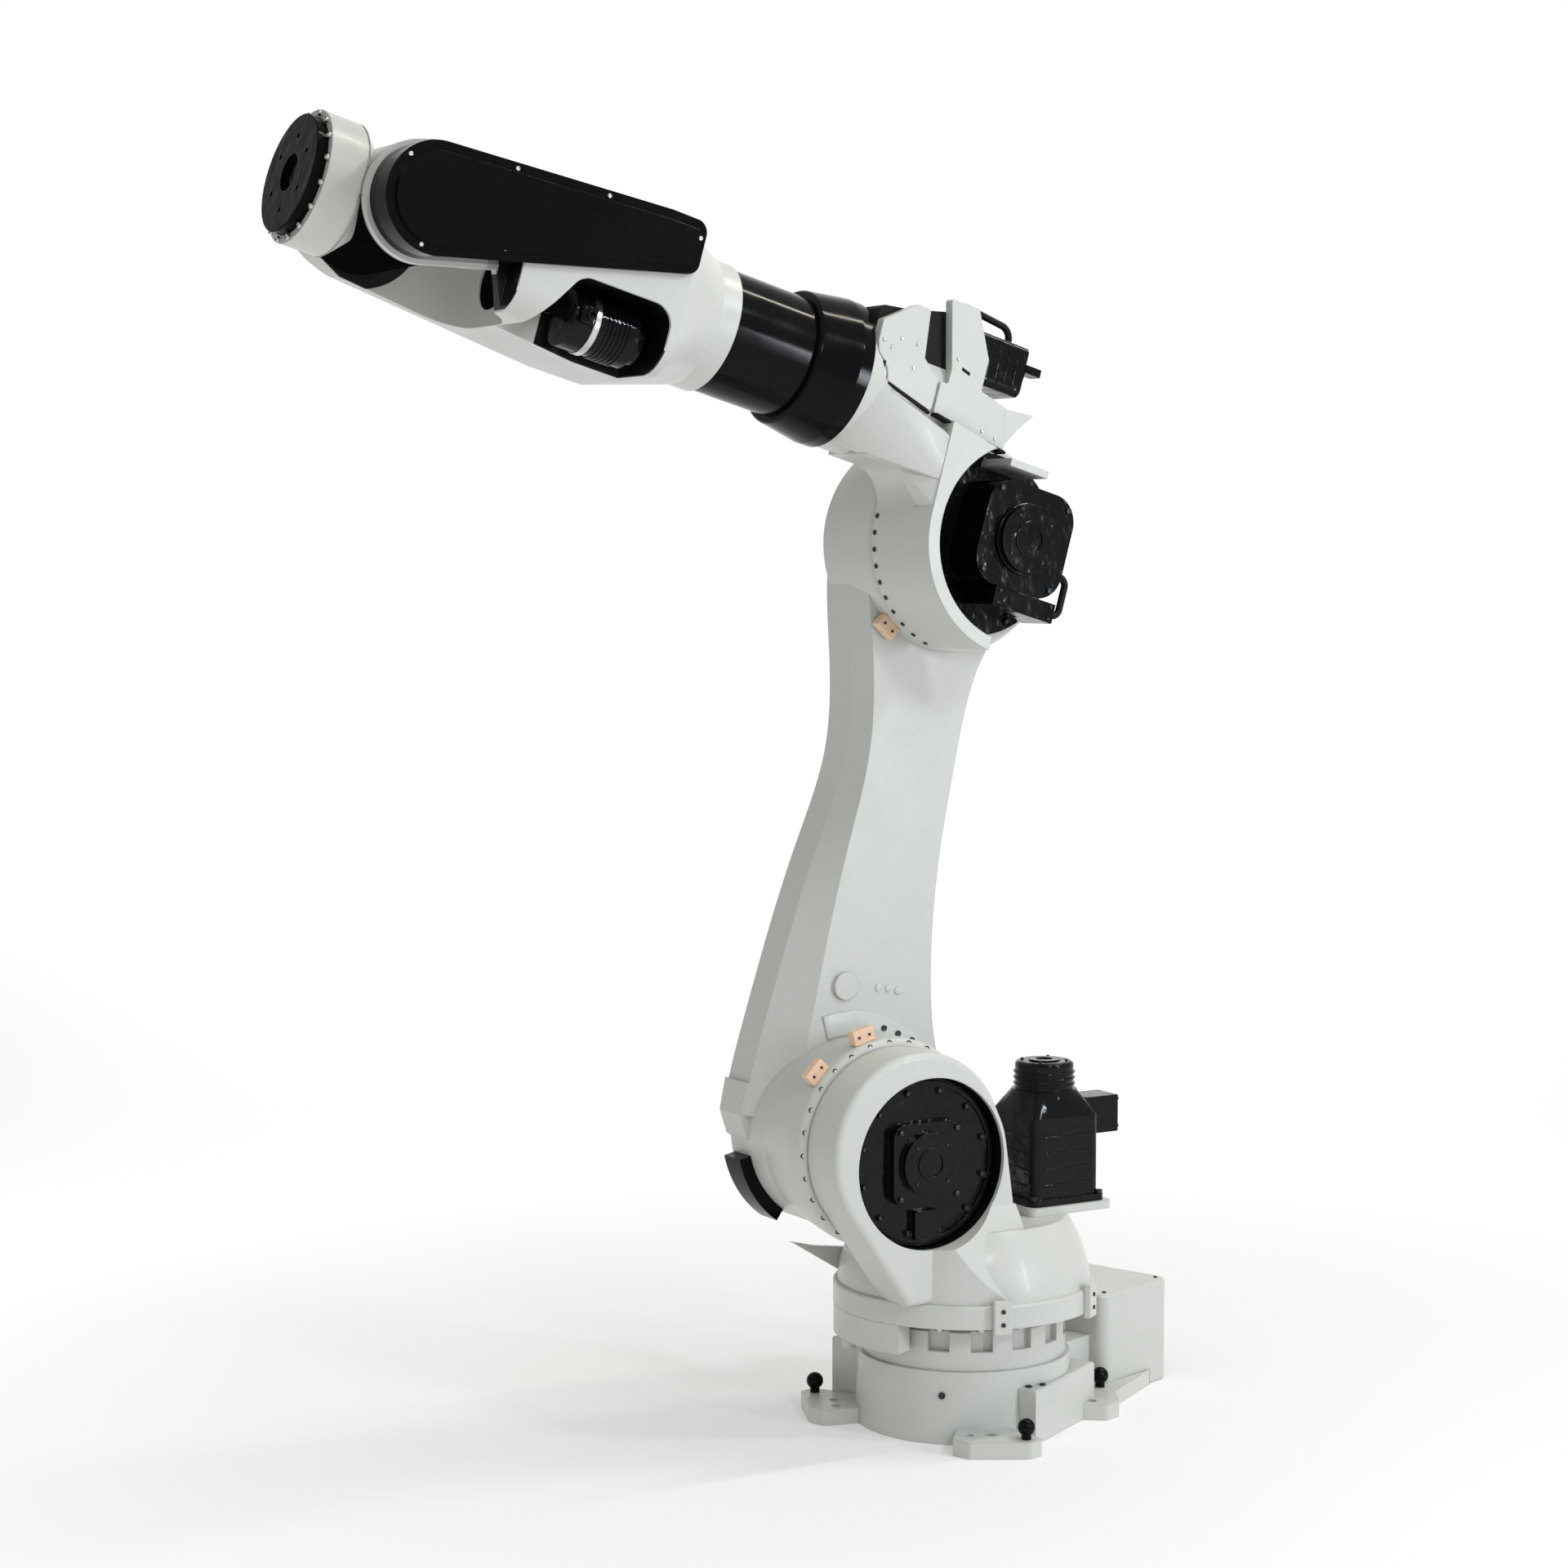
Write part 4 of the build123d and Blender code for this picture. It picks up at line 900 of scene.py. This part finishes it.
@dataclass
class LowerArmFittings:
    """Fasteners and raised pads of the lower arm."""

    axes: Axes
    ring: ScrewRing = ScrewRing(28, 186.0, Screw(5.2, 3.0))
    ring_face: float = 56.5
    beam_face: float = -90.0
    face_screws: tuple[Pair, ...] = ((-7, 190), (-37, 200), (-70, 194), (-103, 186))
    face_screw: Screw = Screw(5.6, 3.0)
    stop_screw: Screw = Screw(2.6, 1.6)
    stop_screw_spread: Pair = (-11, 11)
    foot_stop_angles: tuple[float, ...] = (58.0, 26.0)
    foot_stop: Pair = (48, 207)
    head_stop_angle: float = 147.0
    head_stop: Pair = (-68, 215)
    elbow_height: float = 1110.0
    end_cap: ScrewRing = ScrewRing(10, 104.0, Screw(5.0, 2.4, Head.BUTTON))
    end_cap_face: float = -239.3
    pad_height: float = 4.0
    pad_radii: Pair = (181.0, 226.0)
    pad_sweep: tuple[int, int, int] = (-38, 27, 4)
    pad_sink: float = 0.5
    pad_edge: float = 1.5
    bumps: tuple[Pair, ...] = ((-12, 272), (-34, 274), (-56, 272))
    bump_profile: tuple[Pair, ...] = ((0, -0.5), (7.5, -0.5), (7.5, 1.2), (5.5, 2.2), (0, 2.2))
    bump_steps: int = 24

    def build(self) -> None:
        """Builds the lower arm's pieces."""
        screws = Piece("lower_arm_screws", "lower_arm", OXIDE, self.axes.lower)
        screws.screw_ring(at(0, self.ring_face, 0, Way.NEAR), self.ring)
        for x, z in self.face_screws:
            screws.screw(at(x, self.beam_face + self.pad_height, z, Way.NEAR), self.face_screw)
        for degrees in self.foot_stop_angles:
            self._stop_screws(screws, about_y(degrees), self.foot_stop)
        head = Matrix.Translation((0, 0, self.elbow_height / MM_PER_M))
        self._stop_screws(screws, head @ about_y(self.head_stop_angle), self.head_stop)
        screws.finish_up()
        caps = Piece("end_cap_screws", "lower_arm", OXIDE, self.axes.lower)
        for height in (0.0, self.elbow_height):
            caps.screw_ring(at(0, self.end_cap_face, height, Way.FAR), self.end_cap)
        caps.finish_up()
        self._pad()

    def _stop_screws(self, screws: Piece, spin: Matrix, stop: Pair) -> None:
        """Adds the two screws of a stop block, given its near face and reach on a turned drum."""
        for along in self.stop_screw_spread:
            screws.screw(spin @ at(along, *stop, Way.NEAR), self.stop_screw)

    def _pad(self) -> None:
        """Builds the raised arc round the foot and the small bumps above it."""
        pad = Piece("foot_pad", "lower_arm", CREAM, self.axes.lower, "cream_paint")
        inner, outer = self.pad_radii
        angles = [math.radians(degrees) for degrees in range(*self.pad_sweep)]
        outline = [(outer * math.sin(angle), outer * math.cos(angle)) for angle in angles]
        outline += [(inner * math.sin(angle), inner * math.cos(angle))
                    for angle in reversed(angles)]
        pad.plate(outline, self.beam_face - self.pad_sink, self.beam_face + self.pad_height,
                  self.pad_edge)
        for x, z in self.bumps:
            pad.turn(at(x, self.beam_face, z, Way.NEAR), list(self.bump_profile), self.bump_steps)
        pad.finish_up()


@dataclass
class ElbowFittings:
    """Fasteners, seals, fairings and motor trim of the elbow."""

    axes: Axes
    drum: float = 204.0
    drum_row: float = -34.0
    drum_screws: int = 11
    drum_screw: Screw = Screw(4.6, 2.2)
    drum_pitch: float = 8.6
    drum_start: float = 7.0
    plate_face: float = 123.0
    plate_screws: tuple[Pair, ...] = ((353, 258), (337, 279), (302, 279), (300, 236), (213, 280),
                                      (129, 172), (98, 168), (372, 266))
    plate_screw: Screw = Screw(3.6, 1.8)
    cheek_edge: tuple[Point, ...] = ((203, 141, 60), (203, 142, 100), (203, 141, 140),
                                     (203, 111, 157))
    gusset_edge: tuple[Point, ...] = ((203, 84, 60), (329, 84, 72.6), (300, 60, 72.6))
    neck_line: tuple[Point, ...] = ((244, 112, 164), (362, 117, 193), (386, 117, 198))
    neck_front: float = 386.0
    neck_bevel: float = 6.0
    keel_radius: float = 111.6
    keel_height: float = 184.0
    keel_sweep: tuple[int, int, int] = (-70, 1, 10)
    throat: tuple[Point, ...] = ((203, 141, 66), (203, 141, 12), (203, 84, 12), (203, 84, 66),
                                 (240, 83, 60), (268, 83, 71), (268, 83, 72.5))
    throat_bevel: float = 1.5
    motor_flange: float = 6.3
    motor_flange_screws: ScrewRing = ScrewRing(14, 156.0, Screw(6.5, 6.5))
    elbow_motor: Pair = (-34.0, 18.0)
    motor_body: float = 98.3
    motor_body_half: Pair = (76, 76)
    motor_body_screw: Screw = Screw(6.0, 5.5, Head.HEX)
    motor_body_ring: Collar = Collar(61.7, 66.0, 2.0, 6.5)
    motor_cap: float = 116.3
    motor_cap_screws: ScrewRing = ScrewRing(4, 50.0, Screw(3.2, 2.4), 45.0)
    motor_cap_ring: Collar = Collar(24.0, 34.0, -0.5, 2.5)
    junction_box: Point = (-62, 102.3, -97)
    junction_box_half: Pair = (58, 11)
    junction_box_screw: Screw = Screw(3.2, 2.2)
    roll_motor: Pair = (10.0, 317.0)
    roll_motor_end: float = 26.0
    roll_motor_half: Pair = (37, 37)
    roll_motor_screw: Screw = Screw(4.2, 3.5, Head.HEX)
    roll_motor_cap: float = 16.0
    roll_motor_ring: Collar = Collar(12.0, 18.0, -0.5, 2.0)
    rib_places: tuple[float, ...] = (46.0, 66.0, 86.0, 106.0)
    rib_side: float = 47.0
    rib_size: Point = (5, 3, 62)
    rib_edge: float = 1.0
    front_seal: tuple[Pair, ...] = ((362, 203.3), (244, 173.3))
    front_seal_near: float = 121.0
    rear_seal: tuple[Pair, ...] = ((236, 173.0), (76, 149.8))
    rear_seal_near: float = 134.0
    seal_far: float = 104.0
    seal_drop: float = 4.6
    seal_edge: float = 0.6
    slots: tuple[tuple[Pair, ...], ...] = (((358, 213), (364, 213), (364, 231), (358, 231)),
                                           ((182, 258), (201, 263), (201, 269), (182, 264)))
    slot_depth: Pair = (122.5, 123.4)
    slot_edge: float = 0.25

    def build(self) -> None:
        """Builds the elbow's pieces."""
        screws = Piece("elbow_screws", "elbow", OXIDE, self.axes.elbow)
        for index in range(self.drum_screws):
            spin = about_y(self.drum_pitch * index - self.drum_start)
            screws.screw(spin @ at(self.drum, self.drum_row, 0, Way.AHEAD), self.drum_screw)
        self._motor_screws(screws)
        screws.finish_up()
        plates = Piece("plate_screws", "elbow", STEEL, self.axes.elbow)
        for x, z in self.plate_screws:
            plates.screw(at(x, self.plate_face, z, Way.NEAR), self.plate_screw)
            plates.screw(at(x, -self.plate_face, z, Way.FAR), self.plate_screw)
        plates.finish_up()
        self._seals()
        self._trim()
        self._fairings()

    def _motor_screws(self, screws: Piece) -> None:
        """Adds the screws of the elbow motor, its box and the roll motor.

        Args:
            screws: The piece to add to.
        """
        x, z = self.elbow_motor
        screws.screw_ring(at(0, self.motor_flange, 0, Way.NEAR), self.motor_flange_screws)
        screws.screw_square(at(x, self.motor_body, z, Way.NEAR), self.motor_body_half,
                            self.motor_body_screw)
        screws.screw_ring(at(x, self.motor_cap, z, Way.NEAR), self.motor_cap_screws)
        screws.screw_square(at(*self.junction_box, Way.NEAR), self.junction_box_half,
                            self.junction_box_screw)
        screws.screw_square(at(self.roll_motor_end, *self.roll_motor, Way.BACK),
                            self.roll_motor_half, self.roll_motor_screw)

    def _seals(self) -> None:
        """Builds the black seal under the side plates and the dark slots in them."""
        seal = Piece("plate_seals", "elbow", SEAL, self.axes.elbow, "black_paint")
        for upper, near in ((self.front_seal, self.front_seal_near),
                            (self.rear_seal, self.rear_seal_near)):
            lower = [(x, z - self.seal_drop) for x, z in reversed(upper)]
            seal.plate([*upper, *lower], self.seal_far, near, self.seal_edge)
        for outline in self.slots:
            seal.plate(list(outline), *self.slot_depth, self.slot_edge)
        seal.finish_up()

    def _trim(self) -> None:
        """Builds the raised rings and ribs of the two motors."""
        trim = Piece("elbow_motor_trim", "elbow", MOTOR, self.axes.elbow, "black_paint")
        x, z = self.elbow_motor
        trim.collar(at(x, self.motor_cap, z, Way.NEAR), self.motor_cap_ring)
        trim.collar(at(x, self.motor_body, z, Way.NEAR), self.motor_body_ring)
        y, up = self.roll_motor
        trim.collar(at(self.roll_motor_cap, y, up, Way.BACK), self.roll_motor_ring)
        wide, thick, long = self.rib_size
        for along in self.rib_places:
            trim.block(at(along, y + self.rib_side, up), (wide, thick, long), self.rib_edge)
            trim.block(at(along, y, up + self.rib_side), (wide, long, thick), self.rib_edge)
        trim.finish_up()

    def _fairings(self) -> None:
        """Builds the smooth cheek and throat that run the neck into the drum."""
        cheek = Piece("neck_fairing", "elbow", CREAM, self.axes.elbow, "cream_paint")
        points = [*self.cheek_edge, *self.gusset_edge, *self.neck_line]
        for degrees in range(*self.keel_sweep):
            angle = math.radians(degrees)
            points.append((self.neck_front, self.keel_radius * math.cos(angle),
                           self.keel_height + self.keel_radius * math.sin(angle)))
        cheek.shell(points, self.neck_bevel)
        cheek.finish_up()
        throat = Piece("throat_fairing", "elbow", CREAM, self.axes.elbow, "cream_paint")
        throat.shell(list(self.throat), self.throat_bevel)
        throat.finish_up()


@dataclass
class ForearmFittings:
    """Fasteners of the belt cover and trim of the wrist motor in the window."""

    axes: Axes
    cover_face: float = 199.0
    cover_screws: tuple[Pair, ...] = ((1346, 253), (1162, 293), (992, 306), (811, 295),
                                      (930, 230), (1149, 163), (1291, 122))
    cover_screw: Screw = Screw(4.6, 2.0, Head.BUTTON)
    far_cover: Point = (1281.0, -198.0, 202.0)
    far_cover_screws: ScrewRing = ScrewRing(8, 74.0, Screw(4.2, 1.8, Head.BUTTON))
    hand_motor: Point = (911.6, 96.0, 112.0)
    strap: Collar = Collar(49.6, 52.6, 14.0, 26.0)
    rib_count: int = 6
    rib_radii: Pair = (49.6, 52.2)
    rib_ends: Pair = (-44.0, -40.0)
    rib_pitch: float = 8.0
    plug: Point = (42.0, 52.0, 6.0)
    plug_size: Point = (26, 24, 30)
    plug_edge: float = 3.0
    plug_neck: float = 64.0
    plug_ring: Collar = Collar(5.0, 9.0, -1.0, 8.0)

    def build(self) -> None:
        """Builds the forearm's pieces."""
        screws = Piece("cover_screws", "forearm", STEEL, self.axes.elbow)
        for x, z in self.cover_screws:
            screws.screw(at(x, self.cover_face, z, Way.NEAR), self.cover_screw)
        screws.screw_ring(at(*self.far_cover, Way.FAR), self.far_cover_screws)
        screws.finish_up()
        self._window()

    def _window(self) -> None:
        """Builds the strap, ribs and plug of the wrist motor."""
        x, y, z = self.hand_motor
        axis = at(x, y, z, Way.AHEAD)
        strap = Piece("hand_motor_strap", "forearm", STEEL, self.axes.elbow)
        strap.collar(axis, self.strap)
        strap.finish_up()
        trim = Piece("hand_motor_trim", "forearm", MOTOR, self.axes.elbow, "black_paint")
        for step in range(self.rib_count):
            low, high = (end + self.rib_pitch * step for end in self.rib_ends)
            trim.collar(axis, Collar(*self.rib_radii, low, high))
        along, out, up = self.plug
        trim.block(at(x + along, y + out, z + up), self.plug_size, self.plug_edge)
        trim.collar(at(x + along, y + self.plug_neck, z + up, Way.NEAR), self.plug_ring)
        trim.finish_up()


@dataclass
class WristFittings:
    """Screws of the wrist's tool housing and hub."""

    axes: Axes
    housing_bolts: ScrewRing = ScrewRing(16, 106.5, Screw(4.8, 6.0), 11.25)
    housing_front: float = 160.0
    hub_screws: ScrewRing = ScrewRing(10, 80.0, Screw(4.2, 1.6, Head.BUTTON))
    hub_face: float = 117.7

    def build(self) -> None:
        """Builds the wrist's screws."""
        bolts = Piece("tool_housing_bolts", "wrist", STEEL, self.axes.wrist)
        bolts.screw_ring(at(self.housing_front, 0, 0, Way.AHEAD), self.housing_bolts)
        bolts.finish_up()
        hub = Piece("hub_screws", "wrist", OXIDE, self.axes.wrist)
        hub.screw_ring(at(0, self.hub_face, 0, Way.NEAR), self.hub_screws)
        hub.finish_up()


@dataclass(frozen=True)
class Lamp:
    """A soft rectangular lamp, with its place and sides in metres and its power in watts."""

    name: str
    spot: Point
    target: Point
    size: Pair
    power: float
    colour: Colour

    def hang(self, forward: Point) -> None:
        """Hangs the lamp so that it faces its target.

        Args:
            forward: Direction that its first side lies along.
        """
        data = bpy.data.lights.new(self.name, "AREA")
        data.shape = "RECTANGLE"
        data.size, data.size_y = self.size
        data.energy = self.power
        data.color = self.colour
        lamp = bpy.data.objects.new(self.name, data)
        bpy.context.scene.collection.objects.link(lamp)
        back = (Vector(self.spot) - Vector(self.target)).normalized()
        up = back.cross(Vector(forward)).normalized()
        turn = Matrix((up.cross(back), up, back)).transposed().to_4x4()
        lamp.matrix_world = Matrix.Translation(self.spot) @ turn


@dataclass
class Studio:
    """Floor, surroundings, lights and camera."""

    eye: Point = (4.7186, 3.6572, 1.622)
    heading: Pair = (-0.75471, -0.65606)
    pitch: float = math.radians(4.17)
    lens: float = 74.27
    sensor: float = 36.0
    view_end: float = 200.0
    forward: Point = (0.951, -0.309, 0.0)
    backdrop: float = 1.0
    backdrop_range: Pair = (0.70, 0.90)
    dome: float = 0.52
    dome_tint: Colour = (0.965, 1.0, 0.975)
    floor_radius: float = 90.0
    floor_sides: int = 96
    floor_tone: Colour = (0.88, 0.88, 0.88)
    glow_range: Pair = (0.55, 2.2)
    least_glow: float = 0.25
    far_range: Pair = (3.0, 10.0)
    lamps: tuple[Lamp, ...] = (
        Lamp("key", (2.6, 5.6, 4.4), (0.3, 0.0, 1.2), (0.9, 0.9), 80.0, (1.0, 0.98, 0.96)),
        Lamp("strip", (-1.6, 1.0, 5.0), (0.6, -0.2, 1.6), (3.6, 0.15), 80.0, (1.0, 0.93, 0.80)),
        Lamp("window", (-0.6, 3.0, 3.9), (0.7, -0.2, 2.0), (0.4, 0.45), 38.0, (0.84, 0.91, 1.0)),
        Lamp("side", (-0.45, 4.0, 1.35), (0.2, 0.0, 1.3), (0.2, 1.5), 46.0, (0.88, 0.92, 1.0)),
    )

    def build(self) -> None:
        """Builds the whole studio."""
        bpy.context.scene.view_settings.view_transform = "Standard"
        self._camera()
        self._floor()
        self._world()
        for lamp in self.lamps:
            lamp.hang(self.forward)

    def _camera(self) -> None:
        """Places the camera as it stood for the photograph."""
        data = bpy.data.cameras.new("camera")
        data.lens = self.lens
        data.sensor_width = self.sensor
        data.clip_end = self.view_end
        camera = bpy.data.objects.new("camera", data)
        bpy.context.scene.collection.objects.link(camera)
        level = math.cos(self.pitch)
        ahead = Vector((self.heading[0] * level, self.heading[1] * level, -math.sin(self.pitch)))
        turn = ahead.to_track_quat("-Z", "Y").to_matrix().to_4x4()
        camera.matrix_world = Matrix.Translation(self.eye) @ turn
        bpy.context.scene.camera = camera

    def _floor(self) -> None:
        """Lays the pale floor, which fades into the background far away."""
        mesh = bmesh.new()
        bmesh.ops.create_circle(mesh, cap_ends=True, radius=self.floor_radius,
                                segments=self.floor_sides)
        data = bpy.data.meshes.new("floor")
        mesh.to_mesh(data)
        mesh.free()
        floor = bpy.data.objects.new("floor", data)
        bpy.context.scene.collection.objects.link(floor)
        data.materials.append(self._floor_material())

    def _floor_material(self) -> bpy.types.Material:
        """Makes the pale matt floor, which glows softly away from the arm.

        Returns:
            The material.
        """
        made = bpy.data.materials.new("studio_floor")
        made.use_nodes = True
        made.node_tree.nodes.clear()
        graph = Graph(made.node_tree)
        output = graph.add("ShaderNodeOutputMaterial")
        matt = graph.add("ShaderNodeBsdfDiffuse", Color=(*self.floor_tone, 1.0))
        glow = graph.add("ShaderNodeEmission", Color=(*WHITE, 1.0))
        place = graph.add("ShaderNodeTexCoord").outputs["Object"]
        away = graph.vector("LENGTH", place).outputs["Value"]
        graph.join(self._floor_glow(graph, place, away), glow.inputs["Strength"])
        fade = graph.remap(away, self.glow_range, (self.least_glow, 1.0))
        mix = graph.add("ShaderNodeMixShader")
        for source, target in zip((fade, matt.outputs["BSDF"], glow.outputs["Emission"]),
                                  mix.inputs):
            graph.join(source, target)
        graph.join(mix.outputs["Shader"], output.inputs["Surface"])
        return made

    def _floor_glow(
        self, graph: Graph, place: bpy.types.NodeSocket, away: bpy.types.NodeSocket
    ) -> bpy.types.NodeSocket:
        """Strength of the floor's glow, which meets the surroundings far away.

        Args:
            graph: The floor's nodes.
            place: Object coordinates.
            away: Distance from the arm.

        Returns:
            The strength.
        """
        ray = graph.vector("NORMALIZE", place).outputs["Vector"]
        node = graph.add("ShaderNodeMix")
        factor, close, far = (socket for socket in node.inputs if socket.type == "VALUE")
        graph.join(graph.remap(away, self.far_range), factor)
        close.default_value = self.backdrop
        graph.join(self._surroundings(graph, ray), far)
        return next(socket for socket in node.outputs if socket.type == "VALUE")

    def _surroundings(self, graph: Graph, ray: bpy.types.NodeSocket) -> bpy.types.NodeSocket:
        """Brightness of the surroundings in a direction.

        Args:
            graph: The nodes to add to.
            ray: The direction.

        Returns:
            White behind the arm and dimmer elsewhere.
        """
        heading = Vector((*self.heading, 0.0))
        behind = graph.vector("DOT_PRODUCT", ray, heading).outputs["Value"]
        return graph.remap(behind, self.backdrop_range, (self.dome, self.backdrop))

    def _world(self) -> None:
        """Sets a white backdrop and a dimmer dome elsewhere, so gloss black keeps its depth."""
        world = bpy.data.worlds.new("studio")
        world.use_nodes = True
        graph = Graph(world.node_tree)
        shine = world.node_tree.nodes["Background"]
        ray = graph.add("ShaderNodeTexCoord").outputs["Generated"]
        strength = self._surroundings(graph, ray)
        graph.join(strength, shine.inputs["Strength"])
        tone = graph.ramp(strength, (self.dome, self.dome_tint), (self.backdrop, WHITE))
        graph.join(tone, shine.inputs["Color"])
        bpy.context.scene.world = world


def main() -> None:
    """Builds the sub-assemblies in order and reports each piece."""
    logging.basicConfig(level=logging.INFO, format="%(name)s: %(message)s")
    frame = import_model()
    axes = Axes.read(frame["joints"])
    Dress(frame["nodes"], axes).dress()
    for kind in (BaseFittings, TurretFittings, LowerArmFittings, ElbowFittings, ForearmFittings,
                 WristFittings):
        kind(axes).build()
    Studio().build()


if __name__ == "__main__":
    main()
